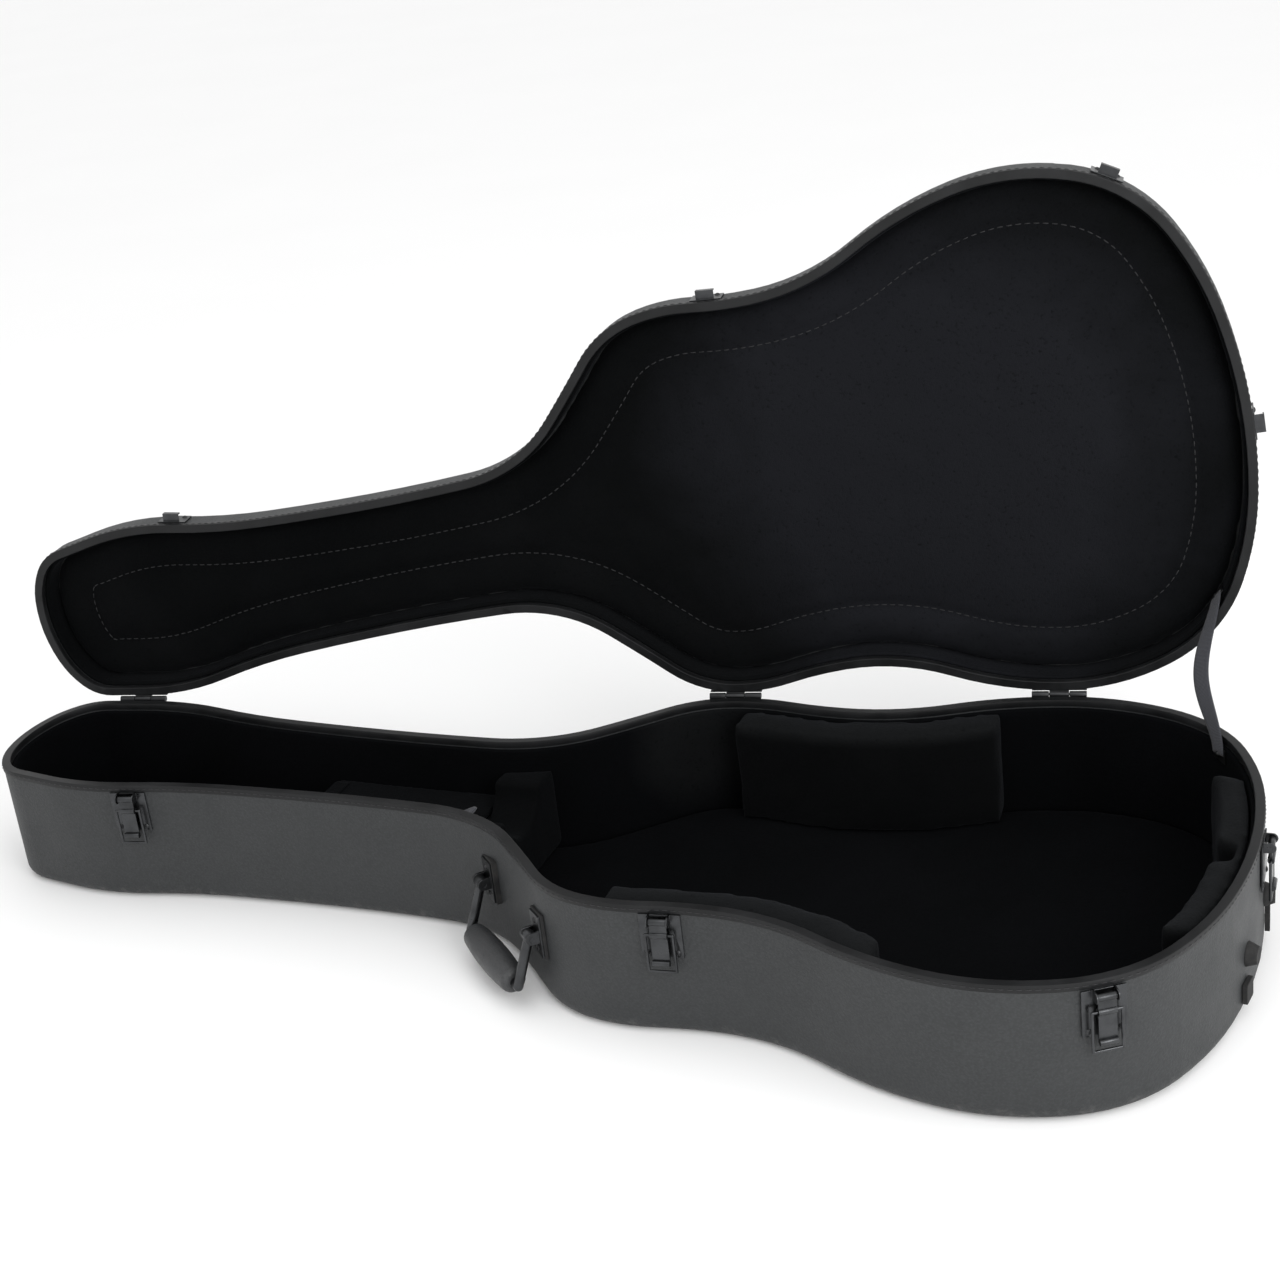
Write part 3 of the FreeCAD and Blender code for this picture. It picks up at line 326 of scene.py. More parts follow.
def thread_material():
    """Twisted sewing thread."""
    s = Shader("thread")
    twist = s.noise(2600.0, 2.0)
    color = s.between(s.curve(twist, 0.35, 0.65), (0.004, 0.004, 0.005), (0.013, 0.013, 0.015))
    s.height(twist, 0.0001, 0.8)
    s.set(Sheen_Weight=0.05)
    return s.finish(color, s.curve(twist, 0.3, 0.7, 0.5, 0.7))


VINYL = vinyl_material()
# Painted light and shade: the four plush colours below are one cloth. The base's lining is painted darkest, and
# its pads and board a little lighter, as painted shade inside the base. The lid's plush is painted lightest, as
# painted light on the lid.
PLUSH = plush_material(
    "plush_lining", (0.0010, 0.0012, 0.0015), (0.0018, 0.0020, 0.0025), 0.006,
    # Painted light: a lighter patch on the shoulder's back wall, where the key light falls.
    worn_and_lit=(plan(0.505, -0.155, 0.075), 0.055, (0.0058, 0.0062, 0.0066)),
)
PAD_PLUSH = plush_material(
    "plush_pads", (0.0014, 0.0016, 0.0018), (0.0026, 0.0028, 0.0030), 0.030,
    # Painted light: the pads' tops, from these heights up, are painted lighter where the light falls on them.
    top=(RIM - 0.018, RIM - 0.008, (0.0064, 0.0069, 0.0073)),
)
BOARD = plush_material("plush_board", (0.0014, 0.0016, 0.0018), (0.0026, 0.0029, 0.0033), 0.014)
LID_PLUSH = plush_material(
    "plush_lid", (0.0015, 0.0018, 0.0020), (0.0032, 0.0035, 0.0038), 0.018,
    # Painted light: a broad lighter pool round the middle of the lid, darker towards its edges.
    worn_and_lit=(OPEN @ plan(0.25, 0.0, 0.15), 0.20, (0.0094, 0.0099, 0.0120)),
)
BINDING = binding_material()
STEEL = metal_material("hinge_steel", (0.050, 0.051, 0.053), 0.36)
NICKEL = metal_material("latch_steel", (0.066, 0.068, 0.071), 0.24)
RUBBER = rubber_material()
GRIP = grip_material()
RIBBON = weave_material("strap_web", (0.034, 0.035, 0.041), (0.074, 0.077, 0.090), 0.0011)
THREAD = thread_material()

SLOTS = {
    "shell_vinyl": VINYL,
    "rim_binding": BINDING,
    "plush_lining": PLUSH,
    "board": BOARD,
    "hinge_steel": STEEL,
    "latch_steel": NICKEL,
    "rubber": RUBBER,
    "grip_vinyl": GRIP,
    "strap_web": RIBBON,
}

# ---------------------------------------------------------------------------------------------
# Mesh helpers


def add_object(name, mesh, material):
    """A new object in the scene, with its one material."""
    obj = bpy.data.objects.new(name, mesh)
    SCENE.collection.objects.link(obj)
    mesh.materials.clear()
    mesh.materials.append(material)
    return obj


def mesh_from(name, points, faces):
    """A smooth-shaded mesh with its faces turned outwards."""
    mesh = bpy.data.meshes.new(name)
    mesh.from_pydata([tuple(p) for p in points], [], faces)
    mesh.validate()
    tidy = bmesh.new()
    tidy.from_mesh(mesh)
    bmesh.ops.recalc_face_normals(tidy, faces=tidy.faces)
    tidy.to_mesh(mesh)
    tidy.free()
    mesh.shade_smooth()
    return mesh


def welded_copy(name, matrix=STILL):
    """A bmesh of a CAD node with its split corners joined, moved by a matrix."""
    made = bmesh.new()
    made.from_mesh(NODES[name].data)
    bmesh.ops.remove_doubles(made, verts=made.verts, dist=MERGE)
    made.transform(matrix)
    return made


def section_loops(name, z, matrix=STILL):
    """The closed outlines of a CAD node where a level plane cuts it, longest first."""
    made = welded_copy(name, matrix)
    whole = list(made.verts) + list(made.edges) + list(made.faces)
    cut = bmesh.ops.bisect_plane(
        made,
        geom=whole,
        plane_co=(0, 0, z),
        plane_no=(0, 0, 1),
        clear_inner=True,
        clear_outer=True,
    )["geom_cut"]
    edges = {e for e in cut if isinstance(e, bmesh.types.BMEdge)}
    loops = []
    while edges:
        edge = edges.pop()
        first, current = edge.verts
        loop = [first.co.copy(), current.co.copy()]
        while current != first:
            following = next((e for e in current.link_edges if e in edges), None)
            if following is None:
                break
            edges.remove(following)
            current = following.other_vert(current)
            loop.append(current.co.copy())
        if len(loop) > 8:
            loops.append(loop[:-1])
    made.free()
    loops.sort(key=loop_length, reverse=True)
    return loops


def loop_length(loop):
    """The length round a closed loop."""
    return sum((b - a).length for a, b in zip(loop, loop[1:] + loop[:1]))


def even_loop(loop, pitch):
    """The same closed loop as points at an even pitch, running anticlockwise seen from above."""
    area = sum(a.x * b.y - b.x * a.y for a, b in zip(loop, loop[1:] + loop[:1]))
    if area < 0:
        loop = loop[::-1]
    start = max(range(len(loop)), key=lambda i: loop[i].x)
    loop = loop[start:] + loop[:start]
    total = loop_length(loop)
    count = max(8, round(total / pitch))
    step = total / count
    points, walked, goal = [], 0.0, 0.0
    for a, b in zip(loop, loop[1:] + loop[:1]):
        length = (b - a).length
        while goal < walked + length and len(points) < count:
            points.append(a.lerp(b, (goal - walked) / length))
            goal += step
        walked += length
    return points


def loop_normals(points, reach=2):
    """Outward level directions of an anticlockwise loop."""
    count = len(points)
    normals = []
    for i in range(count):
        way = points[(i + reach) % count] - points[i - reach]
        normals.append(Vector((way.y, -way.x, 0.0)).normalized())
    return normals


def sweep_closed(name, rows, profile_count):
    """Quads between rows of points, closed both along the rows and round each row."""
    points = [p for row in rows for p in row]
    faces = []
    for i in range(len(rows)):
        here = i * profile_count
        ahead = (i + 1) % len(rows) * profile_count
        for j in range(profile_count):
            k = (j + 1) % profile_count
            faces.append((here + j, here + k, ahead + k, ahead + j))
    return mesh_from(name, points, faces)


def apply_modifiers(obj):
    """Bakes an object's modifiers into its mesh."""
    graph = bpy.context.evaluated_depsgraph_get()
    mesh = bpy.data.meshes.new_from_object(obj.evaluated_get(graph))
    old = obj.data
    obj.modifiers.clear()
    obj.data = mesh
    bpy.data.meshes.remove(old)


def subdivide(obj):
    """Smooths the mesh with one level of subdivision."""
    modifier = obj.modifiers.new("smooth", "SUBSURF")
    modifier.levels = 1
    modifier.render_levels = 1
    modifier.use_limit_surface = False


def ripple(point, scale, seed):
    """Smooth noise from -1 to 1."""
    return noise.noise(point * scale + Vector((seed, seed * 1.7, -seed)))


# ---------------------------------------------------------------------------------------------
# Stuffed pieces: a voxel copy of the CAD solid, blown up by the cloth solver

# The stuffing's push in the cloth solver, how much of a pad's back is glued down, and the pitch
# of the points on an outline that seams and edges are measured from.
PRESSURE = 4.0
GLUED = 0.004
EDGE_PITCH = 0.002


def remeshed(name, node, voxel, matrix=STILL):
    """A closed even mesh over a CAD solid, drawn back onto its faces."""
    solid = welded_copy(node, matrix)
    mesh = bpy.data.meshes.new(name)
    solid.to_mesh(mesh)
    surface = BVHTree.FromBMesh(solid)
    solid.free()
    obj = add_object(name, mesh, PLUSH)
    modifier = obj.modifiers.new("voxels", "REMESH")
    modifier.mode = "VOXEL"
    modifier.voxel_size = voxel
    modifier.use_smooth_shade = True
    apply_modifiers(obj)
    for vertex in obj.data.vertices:
        spot, _, _, distance = surface.find_nearest(vertex.co)
        if spot is not None and distance < voxel:
            vertex.co = vertex.co.lerp(spot, 0.85)
    return obj


def relax(obj, rounds, keep=None):
    """Rounds a mesh off by moving each point halfway to its neighbours, but not those kept."""
    made = bmesh.new()
    made.from_mesh(obj.data)
    free = [v for v in made.verts if keep is None or not keep(v.co)]
    axes = {"use_axis_x": True, "use_axis_y": True, "use_axis_z": True}
    for _ in range(rounds):
        bmesh.ops.smooth_vert(made, verts=free, factor=0.5, **axes)
    made.to_mesh(obj.data)
    made.free()
    obj.data.shade_smooth()


def inflate(obj, hold, pressure, cap, stretch=15.0):
    """Blows a piece up with the cloth solver. hold gives how firmly a point is kept, 0 to 1."""
    last_frame = 20
    before = [v.co.copy() for v in obj.data.vertices]
    group = obj.vertex_groups.new(name="held")
    for vertex in obj.data.vertices:
        group.add([vertex.index], hold(vertex.co), "REPLACE")
    modifier = obj.modifiers.new("cloth", "CLOTH")
    cloth = modifier.settings
    cloth.quality = 5
    cloth.mass = 0.25
    cloth.tension_stiffness = stretch
    cloth.compression_stiffness = stretch
    cloth.shear_stiffness = 5.0
    cloth.bending_stiffness = 0.4
    cloth.use_pressure = True
    cloth.uniform_pressure_force = pressure
    cloth.vertex_group_mass = "held"
    cloth.effector_weights.gravity = 0.0
    modifier.point_cache.frame_start = 1
    modifier.point_cache.frame_end = last_frame
    for step in range(1, last_frame + 1):
        SCENE.frame_set(step)
    apply_modifiers(obj)
    SCENE.frame_set(1)
    for vertex, start in zip(obj.data.vertices, before):
        move = vertex.co - start
        if move.length > 1e-9:
            vertex.co = start + move * (cap / (cap + move.length))
    obj.vertex_groups.clear()
    obj.data.shade_smooth()


def edge_distance(loop):
    """A function that tells how far a level point is from a closed loop."""
    tree = KDTree(len(loop))
    for index, point in enumerate(loop):
        tree.insert((point.x, point.y, 0.0), index)
    tree.balance()
    return lambda point: tree.find((point.x, point.y, 0.0))[2]


def finish_soft(obj, node, body, matrix=STILL, material=PLUSH):
    """Puts a stuffed piece in its place, gives it its material, hides the CAD node it stands for and attaches it
    to its body.
    """
    obj.data.transform(matrix)
    obj.data.materials.clear()
    obj.data.materials.append(material)
    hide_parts(node)
    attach(obj, body)


def make_lid_panel():
    """The lid's padding: a crowned panel with a sewn channel that runs round inside its edge."""
    channel, seam_depth, edge_roll, crown_height = 0.036, 0.0034, 0.0045, 0.0016
    obj = remeshed("lid_panel_plush", "lid_panel_pad", 0.005, CLOSED)
    low, high = bounds_of(obj)
    edge = even_loop(section_loops("lid_panel_pad", (low + high) / 2, CLOSED)[0], EDGE_PITCH)
    distance = edge_distance(edge)
    back = high - GLUED

    def hold(point):
        if point.z > back:
            return 1.0
        return max(
            1.0 - smooth_step(0.0, 0.008, distance(point)),
            1.0 - smooth_step(0.0015, 0.007, abs(distance(point) - channel)),
        )

    for vertex in obj.data.vertices:
        if vertex.co.z < back:
            gap = distance(vertex.co)
            sewn = math.exp(-(((gap - channel) / 0.0045) ** 2))
            rolled = (1.0 - smooth_step(0.0, 0.009, gap)) ** 2
            open_field = 1.0 - math.exp(-(((gap - channel) / 0.012) ** 2))
            crown = crown_height * smooth_step(0.0, 0.018, gap) * open_field
            vertex.co.z += seam_depth * sewn + edge_roll * rolled - crown
    inflate(obj, hold, PRESSURE, 0.0045)
    for vertex in obj.data.vertices:
        if vertex.co.z < back:
            gap = distance(vertex.co)
            free = smooth_step(0.004, 0.02, abs(gap - channel)) * smooth_step(0.0, 0.012, gap)
            wave = 0.0011 * ripple(vertex.co, 16.0, 3.0) + 0.0006 * ripple(vertex.co, 45.0, 5.0)
            vertex.co.z += free * wave
    subdivide(obj)
    finish_soft(obj, "lid_panel_pad", "lid", OPEN, LID_PLUSH)
    face = surface_of(obj, CLOSED)
    seam = inset_loop(edge, channel)
    stitch_line("lid_panel_stitches", seam, 0.007, lambda p: drop_on(face, p, -UP), "lid", OPEN)


def bounds_of(obj):
    """The lowest and highest point of a mesh."""
    heights = [v.co.z for v in obj.data.vertices]
    return min(heights), max(heights)


def inset_loop(loop, amount):
    """A closed loop moved inwards, leaving out points that come too near to the original."""
    normals = loop_normals(loop, 6)
    distance = edge_distance(loop)
    moved = [p - n * amount for p, n in zip(loop, normals)]
    return [p for p in moved if distance(p) > amount * 0.985]


def surface_of(obj, matrix=STILL):
    """A search tree of a shown mesh, modifiers included."""
    graph = bpy.context.evaluated_depsgraph_get()
    mesh = bpy.data.meshes.new_from_object(obj.evaluated_get(graph))
    mesh.transform(matrix)
    made = bmesh.new()
    made.from_mesh(mesh)
    tree = BVHTree.FromBMesh(made)
    made.free()
    bpy.data.meshes.remove(mesh)
    return tree


def drop_on(tree, point, way):
    """Where a ray that comes from far off against way meets a surface, and the normal there."""
    start = point + way * 0.2
    spot, normal, _, _ = tree.ray_cast(start, -way, 0.4)
    if spot is None:
        return None
    if normal.dot(way) < 0:
        normal = -normal
    return spot, normal


def stitch_line(name, points, pitch, find, body, matrix, thickness=0.0009):
    """A closed row of separate stitches. find gives the surface point and normal by a point."""
    length, vertices, faces = pitch * 0.68, [], []
    loop = even_loop(points, pitch)
    sides = 6
    count = len(loop)
    rings = (
        (-0.5, 0.25, -0.35),
        (-0.42, 0.8, 0.05),
        (0.0, 1.0, 0.28),
        (0.42, 0.8, 0.05),
        (0.5, 0.25, -0.35),
    )
    for i, point in enumerate(loop):
        found = find(point)
        if found is None:
            continue
        spot, normal = found
        ahead = loop[(i + 1) % count] - loop[i - 1]
        run = (ahead - normal * ahead.dot(normal)).normalized()
        side = run.cross(normal).normalized()
        base = len(vertices)
        for t, swell, lift in rings:
            centre = spot + run * (t * length) + normal * (lift * thickness)
            for k in range(sides):
                angle = 2 * math.pi * k / sides
                offset = side * math.cos(angle) + normal * math.sin(angle) * 0.7
                vertices.append(centre + offset * (0.5 * thickness * swell))
        for ring in range(len(rings) - 1):
            for k in range(sides):
                a = base + ring * sides + k
                b = base + ring * sides + (k + 1) % sides
                faces.append((a, b, b + sides, a + sides))
        faces.append(tuple(base + k for k in range(sides)))
        last = base + (len(rings) - 1) * sides
        faces.append(tuple(last + k for k in reversed(range(sides))))
    mesh = mesh_from(name, vertices, faces)
    mesh.transform(matrix)
    obj = add_object(name, mesh, THREAD)
    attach(obj, body)


def make_floor_pad():
    """The base's floor: thin padding glued down, a little uneven, rolled under at its edge."""
    obj = remeshed("floor_plush", "base_floor_pad", 0.006)
    low, high = bounds_of(obj)
    edge = even_loop(section_loops("base_floor_pad", (low + high) / 2)[0], EDGE_PITCH)
    distance = edge_distance(edge)
    glued = low + GLUED
    sink, edge_roll = 0.0012, 0.0035

    def hold(point):
        return 1.0 if point.z < glued else 1.0 - smooth_step(0.0, 0.012, distance(point))

    for vertex in obj.data.vertices:
        if vertex.co.z > glued:
            rolled = (1.0 - smooth_step(0.0, 0.010, distance(vertex.co))) ** 2
            vertex.co.z -= sink + edge_roll * rolled
    inflate(obj, hold, 0.5 * PRESSURE, 0.0012)
    for vertex in obj.data.vertices:
        if vertex.co.z > glued:
            wave = 0.0007 * ripple(vertex.co, 14.0, 11.0) + 0.0004 * ripple(vertex.co, 40.0, 2.0)
            vertex.co.z = min(vertex.co.z + wave, high)
    subdivide(obj)
    finish_soft(obj, "base_floor_pad", "base")


def make_wall_pad(name, node, cap, seed):
    """A foam block under plush, glued to the wall and floor: crowned top and face."""
    inset, top_gap = 0.0012, 0.0012
    obj = remeshed(name, node, 0.005)
    low, _ = bounds_of(obj)
    wall = edge_distance(even_loop(section_loops("base_wall_lining", 0.06)[1], EDGE_PITCH))

    def hold(point):
        behind = 1.0 - smooth_step(0.0015, 0.006, wall(point))
        under = 1.0 - smooth_step(0.002, 0.008, point.z - low)
        return max(behind, under)

    relax(obj, 5, lambda co: wall(co) < inset or co.z < low + 0.001)
    shrink(obj, inset)
    inflate(obj, hold, PRESSURE, cap, 22.0)
    for vertex in obj.data.vertices:
        free = 1.0 - hold(vertex.co)
        pull = 0.0009 * ripple(vertex.co, 38.0, seed) + 0.0005 * ripple(vertex.co, 95.0, seed)
        vertex.co += Vector((pull, pull * 0.4, pull)) * free
        vertex.co.z = min(vertex.co.z, RIM - top_gap)
    subdivide(obj)
    finish_soft(obj, node, "base", STILL, PAD_PLUSH)


def shrink(obj, amount):
    """Draws every point in along its normal."""
    normals = [v.normal.copy() for v in obj.data.vertices]
    for vertex, normal in zip(obj.data.vertices, normals):
        vertex.co -= normal * amount


def make_head_cushion():
    """The loose-looking cushion under the headstock."""
    sink, edge_roll = 0.003, 0.006
    obj = remeshed("head_cushion", "head_pad", 0.005)
    low, high = bounds_of(obj)
    edge = even_loop(section_loops("head_pad", (low + high) / 2)[0], EDGE_PITCH)
    distance = edge_distance(edge)
    for vertex in obj.data.vertices:
        rolled = (1.0 - smooth_step(0.0, 0.016, distance(vertex.co))) ** 2
        if vertex.co.z > low + 0.006:
            vertex.co.z -= sink + edge_roll * rolled
    relax(obj, 6, lambda co: co.z < low + 0.001)
    inflate(obj, lambda p: 1.0 if p.z < low + 0.003 else 0.0, PRESSURE, 0.006, 12.0)
    subdivide(obj)
    finish_soft(obj, "head_pad", "base", STILL, PAD_PLUSH)


def make_covered_board(name, node, body, voxel, rounds, seed):
    """Board or block with plush glued over it: corners softened by the pile, no sharp arrises."""
    obj = remeshed(name, node, voxel)
    relax(obj, rounds)
    for vertex in obj.data.vertices:
        vertex.co += vertex.normal * (0.00035 * ripple(vertex.co, 60.0, seed) - 0.0002)
    finish_soft(obj, node, body, STILL, BOARD)


def make_lining(name, node, body, matrix, face_sign):
    """Plush over the inside of a wall: a thin padded band with a rolled edge at the rim.
    face_sign is 1 where the rim is the band's upper edge, -1 where it is the lower one."""
    solid = welded_copy(node, matrix.inverted())
    heights = [v.co.z for v in solid.verts]
    solid.free()
    low, high = min(heights), max(heights)
    loops = section_loops(node, (low + high) / 2, matrix.inverted())
    outer = even_loop(loops[0], 0.006)
    inner_points = even_loop(loops[1], 0.001)
    tree = KDTree(len(inner_points))
    for index, point in enumerate(inner_points):
        tree.insert((point.x, point.y, 0.0), index)
    tree.balance()
    rim, foot = (high, low) if face_sign > 0 else (low, high)
    roll, shown, hidden, steps = 0.0022, 0.86, 0.03, 14
    rows = []
    for point in outer:
        face = inner_points[tree.find((point.x, point.y, 0.0))[1]]
        depth = Vector((face.x - point.x, face.y - point.y, 0.0))
        row = []
        for k in range(steps + 1):
            t = k / steps
            z = foot + (rim - face_sign * roll - foot) * t
            here = Vector((point.x, point.y, z))
            swell = shown + 0.10 * ripple(here, 26.0, 4.0) + 0.05 * ripple(here, 70.0, 9.0)
            row.append(here + depth * swell)
        for angle in (30, 60, 90):
            turn = math.radians(angle)
            inward = shown - 0.5 * (1 - math.cos(turn))
            z = rim - face_sign * roll * (1 - math.sin(turn))
            row.append(Vector((point.x, point.y, z)) + depth * inward)
        for z in (rim - face_sign * 0.0004, (rim + foot) / 2, foot):
            row.append(Vector((point.x, point.y, z)) + depth * hidden)
        rows.append(row)
    mesh = sweep_closed(name, rows, len(rows[0]))
    obj = add_object(name, mesh, PLUSH)
    finish_soft(obj, node, body, matrix, LID_PLUSH if body == "lid" else PLUSH)


# ---------------------------------------------------------------------------------------------
# Ribbons and cloth strips


def ribbon_mesh(name, centres, sides, faces_out, width, thick, cells=6):
    """A flat tape along a line: rounded selvedges, UVs in metres for its weave."""
    ring = []
    for k in range(cells + 1):
        ring.append((-0.5 + k / cells, 0.5))
    for k in range(cells, -1, -1):
        ring.append((-0.5 + k / cells, -0.5))
    points, uv_of = [], []
    walked = 0.0
    for i, (centre, side, out) in enumerate(zip(centres, sides, faces_out)):
        if i:
            walked += (centre - centres[i - 1]).length
        for x, y in ring:
            edge = 1.0 - 0.75 * smooth_step(0.36, 0.5, abs(x))
            points.append(centre + side * (x * width) + out * (y * thick * edge))
            uv_of.append((x * width, walked))
    count = len(ring)
    faces = []
    for i in range(len(centres) - 1):
        for j in range(count):
            a, b = i * count + j, i * count + (j + 1) % count
            faces.append((a, b, b + count, a + count))
    faces.append(tuple(range(count)))
    faces.append(tuple((len(centres) - 1) * count + j for j in reversed(range(count))))
    mesh = mesh_from(name, points, faces)
    layer = mesh.uv_layers.new(name="tape")
    for loop in mesh.loops:
        layer.data[loop.index].uv = uv_of[loop.vertex_index]
    return mesh


def bezier(points, t):
    """The point at t on the Bezier curve with these control points."""
    points = list(points)
    while len(points) > 1:
        points = [a.lerp(b, t) for a, b in zip(points, points[1:])]
    return points[0]


def make_stay():
    """The ribbon that stops the lid: fixed flat to both walls, half slack, with a twist in it."""
    made = welded_copy("stay_strap")
    ends = sorted(made.verts, key=lambda v: v.co.z)
    bottom = [v.co.copy() for v in ends[:4]]
    top = [v.co.copy() for v in sorted(made.verts, key=lambda v: (CLOSED @ v.co).z)[-4:]]
    made.free()
    start = sum(bottom, Vector()) / 4
    end = sum(top, Vector()) / 4
    side = max((b - bottom[0] for b in bottom[1:]), key=lambda v: v.length)
    side.z = 0.0
    side.normalize()
    out = Vector((side.y, -side.x, 0.0))
    if out.dot(start - plan(0.3, 0.0)) > 0:
        out = -out
    lid_side = OPEN.to_3x3() @ side
    lid_rise = OPEN.to_3x3() @ -UP
    width, thick = 0.0138, 0.0011
    bow = out * 0.012 + ALONG * 0.010
    middle = start.lerp(end, 0.5) + bow
    control = [start, start + UP * 0.030, middle, middle, end + lid_rise * 0.034, end]
    centres, sides, outs = [], [], []
    steps = 44
    for k in range(steps + 1):
        t = k / steps
        centre = bezier(control, t)
        ahead = bezier(control, min(1.0, t + 0.01)) - bezier(control, max(0.0, t - 0.01))
        ahead.normalize()
        across = side.lerp(lid_side, smooth_step(0.1, 0.9, t))
        twist = math.radians(14) * math.sin(math.pi * t)
        across = Matrix.Rotation(twist, 3, ahead) @ across
        across = (across - ahead * across.dot(ahead)).normalized()
        centres.append(centre)
        sides.append(across)
        outs.append(across.cross(ahead).normalized())
    mesh = ribbon_mesh("stay_ribbon", centres, sides, outs, width, thick)
    obj = add_object("stay_ribbon", mesh, RIBBON)
    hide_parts("stay_strap")
    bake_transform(obj)


def make_pull_tab():
    """A folded loop of ribbon that lifts the accessory door."""
    low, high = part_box("accessory_pull_tab")
    centre = (low + high) / 2
    along, across, _ = to_plan(centre)
    base = high.z - 0.0008
    first, last = along + 0.013, along - 0.015
    width = 0.017
    centres, sides, outs = [], [], []
    profile = [
        (first, 0.0),
        (first - 0.006, 0.0001),
        (along + 0.002, 0.0004),
        (along - 0.005, 0.0016),
        (along - 0.010, 0.0040),
        (last + 0.001, 0.0072),
        (last - 0.0003, 0.0090),
        (last + 0.0016, 0.0102),
        (last + 0.004, 0.0094),
        (along - 0.004, 0.0062),
        (along + 0.002, 0.0032),
        (first - 0.006, 0.0016),
        (first, 0.0014),
    ]
    count = 40
    for k in range(count + 1):
        t = k / count * (len(profile) - 1)
        i = min(int(t), len(profile) - 2)
        f = t - i
        a, b = profile[i], profile[i + 1]
        centres.append(plan(a[0] + (b[0] - a[0]) * f, across, base + a[1] + (b[1] - a[1]) * f))
    for _ in range(3):
        inner = range(1, len(centres) - 1)
        eased = [(centres[i - 1] + centres[i] * 2 + centres[i + 1]) / 4 for i in inner]
        centres = [centres[0], *eased, centres[-1]]
    for i in range(len(centres)):
        ahead = (centres[min(i + 1, count)] - centres[max(i - 1, 0)]).normalized()
        sides.append(ACROSS)
        outs.append(ACROSS.cross(ahead).normalized())
    mesh = ribbon_mesh("accessory_pull_ribbon", centres, sides, outs, width, 0.0010)
    obj = add_object("accessory_pull_ribbon", mesh, RIBBON)
    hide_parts("accessory_pull_tab")
    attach(obj, "accessory_door")


def make_door_hinge():
    """The strip of plush that joins the accessory door to the end of its compartment."""
    _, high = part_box("accessory_door")
    turn = next(j for j in frame["joints"] if j["name"] == "accessory_door_hinge")
    along = to_plan(Vector(turn["pos_m"]))[0]
    half, reach, gap, thick, columns = 0.044, 0.013, 0.0018, 0.0011, 36
    top = high.z + 0.0004
    line = []
    for k in range(13):
        line.append((along - reach + k * reach / 12, top))
    for k in range(1, 7):
        turned = math.radians(15 * k)
        line.append((along + gap * math.sin(turned), top - gap * (1 - math.cos(turned))))
    for k in range(1, 13):
        line.append((along + gap, top - gap - k * (reach - gap) / 12))
    points, faces = [], []
    for layer in (0.0, thick):
        for u, z in line:
            for c in range(columns + 1):
                t = c / columns
                spot = plan(u, half * (2 * t - 1), z)
                away = Vector((0, 0, 1)) if u < along else ALONG
                puff = layer * (1.0 + 0.5 * ripple(spot, 70.0, 8.0))
                points.append(spot + away * puff)
    wide = columns + 1
    sheet_size = len(line) * wide
    for i in range(len(line) - 1):
        for c in range(columns):
            a = i * wide + c
            faces.append((a, a + 1, a + wide + 1, a + wide))
            b = a + sheet_size
            faces.append((b, b + wide, b + wide + 1, b + 1))
    border = list(range(wide)) + [i * wide + columns for i in range(1, len(line))]
    border += [(len(line) - 1) * wide + c for c in range(columns - 1, -1, -1)]
    border += [i * wide for i in range(len(line) - 2, 0, -1)]
    for a, b in zip(border, border[1:] + border[:1]):
        faces.append((b, a, a + sheet_size, b + sheet_size))
    mesh = mesh_from("accessory_door_strip", points, faces)
    obj = add_object("accessory_door_strip", mesh, BOARD)
    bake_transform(obj)


# ---------------------------------------------------------------------------------------------
# Build


def dress_frame():
    """Gives every shown CAD node its material, and small rounded edges to the metal and trims."""
    edges = {"latch_steel": 0.0003, "hinge_steel": 0.0003, "rubber": 0.0012, "rim_binding": 0.0006}
    for part in frame["record"]["subparts"]:
        obj = NODES[part["node"]]
        slot = part["material_slot"]
        obj.data.materials.clear()
        obj.data.materials.append(SLOTS[slot])
        if slot in edges:
            weld = obj.modifiers.new("weld", "WELD")
            weld.merge_threshold = MERGE
            bevel = obj.modifiers.new("edges", "BEVEL")
            bevel.width = edges[slot]
            bevel.segments = 2
            bevel.limit_method = "ANGLE"
            bevel.angle_limit = math.radians(40)
            bevel.harden_normals = False


def rim_stitches():
    """Stitches that hold the binding to both shells, on the outside and just clear of its lip."""
    drop = 0.0032
    loop = section_loops("base_rim_trim", RIM - 0.004)[0]
    for name, level, body, matrix in (
        ("base_binding_stitches", RIM - drop, "base", STILL),
        ("lid_binding_stitches", RIM + drop, "lid", OPEN),
    ):
        points = [Vector((p.x, p.y, level)) for p in even_loop(loop, 0.004)]
        normals = loop_normals(points)
        tree = KDTree(len(points))
        for index, point in enumerate(points):
            tree.insert(point, index)
        tree.balance()

        def find(point):
            index = tree.find(point)[1]
            return point, normals[index]

        stitch_line(name, points, 0.0062, find, body, matrix, 0.0008)


dress_frame()
make_lid_panel()
make_floor_pad()
make_wall_pad("waist_cushion_front", "waist_pad_front", 0.0035, 1.0)
make_wall_pad("waist_cushion_back", "waist_pad_back", 0.0035, 2.0)
make_wall_pad("tail_cushion", "tail_pad", 0.0030, 3.0)
make_head_cushion()
make_covered_board("cradle_cover", "neck_cradle", "base", 0.0028, 4, 1.0)
make_covered_board("accessory_bin_cover", "accessory_bin", "base", 0.0016, 2, 2.0)
make_covered_board("accessory_door_cover", "accessory_door", "accessory_door", 0.0018, 2, 3.0)
make_lining("base_wall_plush", "base_wall_lining", "base", STILL, 1)
make_lining("lid_wall_plush", "lid_wall_lining", "lid", OPEN, -1)
make_stay()
make_pull_tab()
make_door_hinge()
rim_stitches()

# ---------------------------------------------------------------------------------------------
# Floor, light and camera


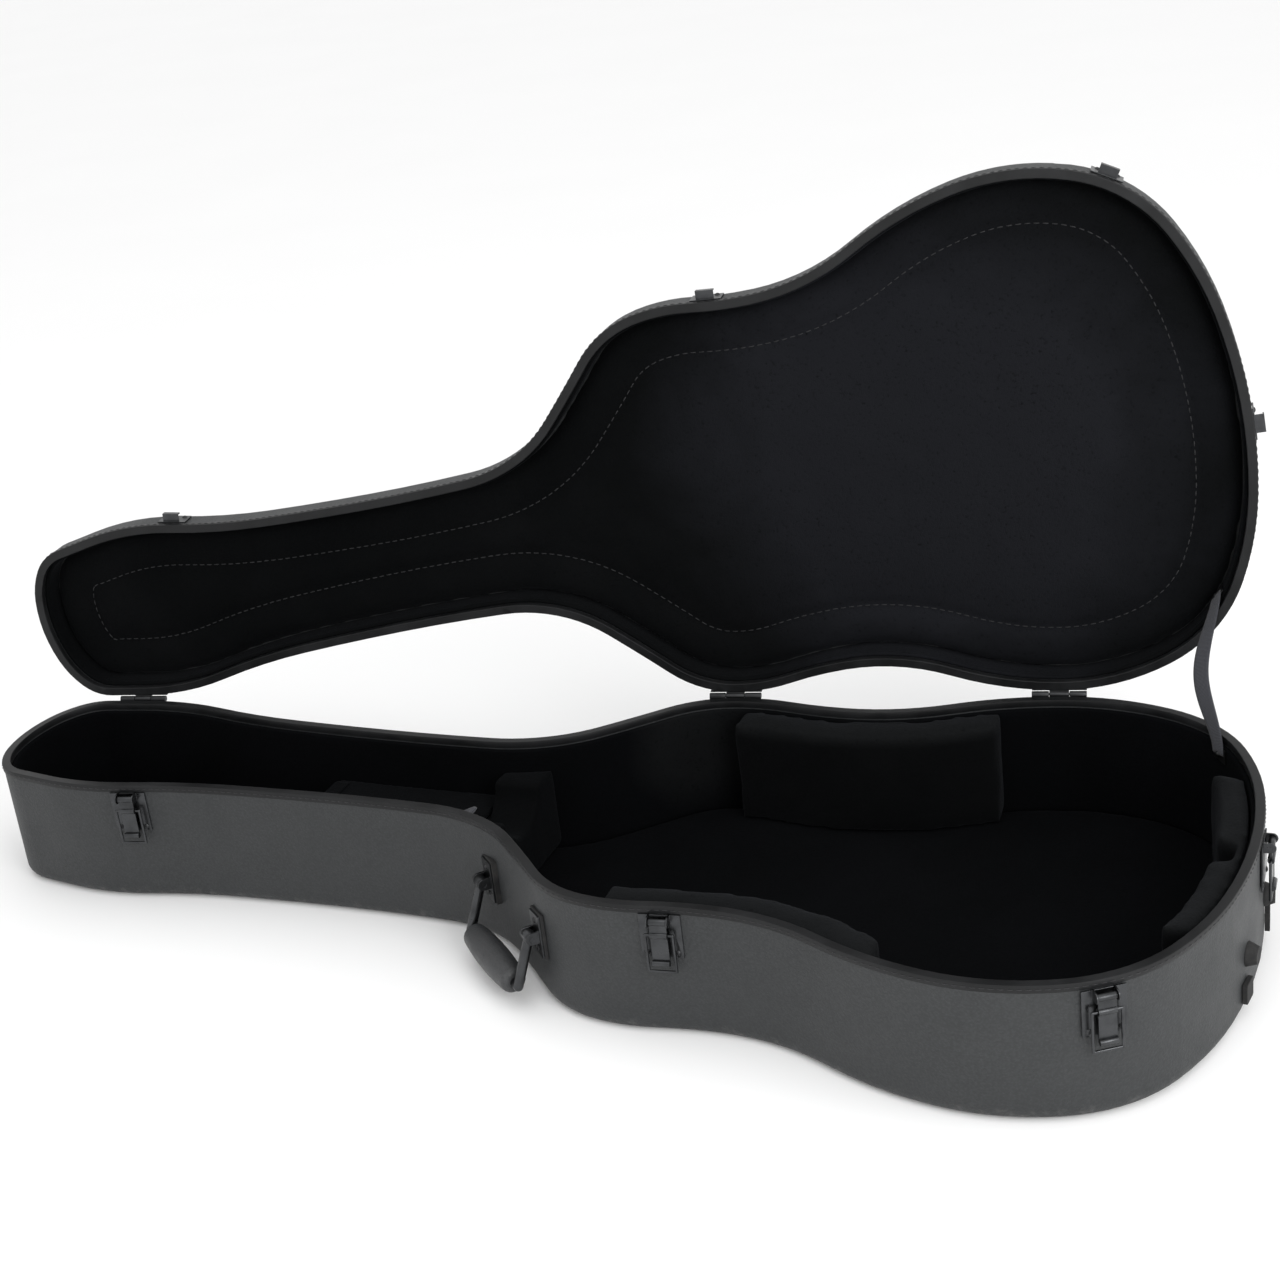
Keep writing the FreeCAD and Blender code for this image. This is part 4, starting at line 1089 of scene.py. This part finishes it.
def make_floor():
    """A plain pale floor that runs out of sight."""
    mesh = bpy.data.meshes.new("floor")
    made = bmesh.new()
    bmesh.ops.create_grid(made, x_segments=2, y_segments=2, size=30)
    made.to_mesh(mesh)
    made.free()
    floor = bpy.data.objects.new("floor", mesh)
    SCENE.collection.objects.link(floor)
    s = Shader("floor")
    s.set(Specular_IOR_Level=0.1)
    mottle = s.noise(3.0, 2.0)
    color = s.between(mottle, (0.93, 0.93, 0.93), (0.95, 0.95, 0.95))
    floor.data.materials.append(s.finish(color, s.curve(mottle, 0, 1, 0.8, 0.9)))


def area_light(name, place, aim, size, power):
    """A square white lamp at place, turned towards aim."""
    light = bpy.data.lights.new(name, "AREA")
    light.shape = "SQUARE"
    light.size = size
    light.energy = power
    obj = bpy.data.objects.new(name, light)
    SCENE.collection.objects.link(obj)
    obj.location = place
    obj.rotation_mode = "QUATERNION"
    obj.rotation_quaternion = (Vector(aim) - Vector(place)).to_track_quat("-Z", "Y")


def make_world():
    """Even white light from all sides, as in a studio tent."""
    world = bpy.data.worlds.new("studio")
    SCENE.world = world
    world.use_nodes = True
    background = world.node_tree.nodes["Background"]
    background.inputs["Color"].default_value = (1.0, 1.0, 1.0, 1.0)
    background.inputs["Strength"].default_value = 1.0


def make_camera():
    """The photo's viewpoint, found by fitting the case's outline."""
    pitch, yaw, roll = (math.radians(angle) for angle in (23.57, -15.51, -6.98))
    place = Vector((0.4946, -1.5132, 0.9212))
    level = math.cos(pitch)
    forward = Vector((math.sin(yaw) * level, math.cos(yaw) * level, -math.sin(pitch)))
    right = Vector((math.cos(yaw), -math.sin(yaw), 0.0))
    up = right.cross(forward)
    turned_right = right * math.cos(roll) + up * math.sin(roll)
    turned_up = up * math.cos(roll) - right * math.sin(roll)
    data = bpy.data.cameras.new("camera")
    data.lens = 61.74
    data.sensor_width = 36.0
    data.clip_start = 0.05
    camera = bpy.data.objects.new("camera", data)
    SCENE.collection.objects.link(camera)
    rotation = Matrix((turned_right, turned_up, -forward)).transposed().to_4x4()
    camera.matrix_world = Matrix.Translation(place) @ rotation
    SCENE.camera = camera


make_floor()
make_world()
area_light("key", (1.25, -1.35, 0.95), (0.25, 0.0, 0.15), 0.9, 16.0)
area_light("side", (2.3, -0.25, 0.9), (0.5, 0.0, 0.1), 1.0, 6.5)
area_light("top", (0.0, -0.6, 2.8), (0.0, 0.0, 0.0), 2.4, 12.0)
make_camera()
SCENE.view_settings.view_transform = "Standard"
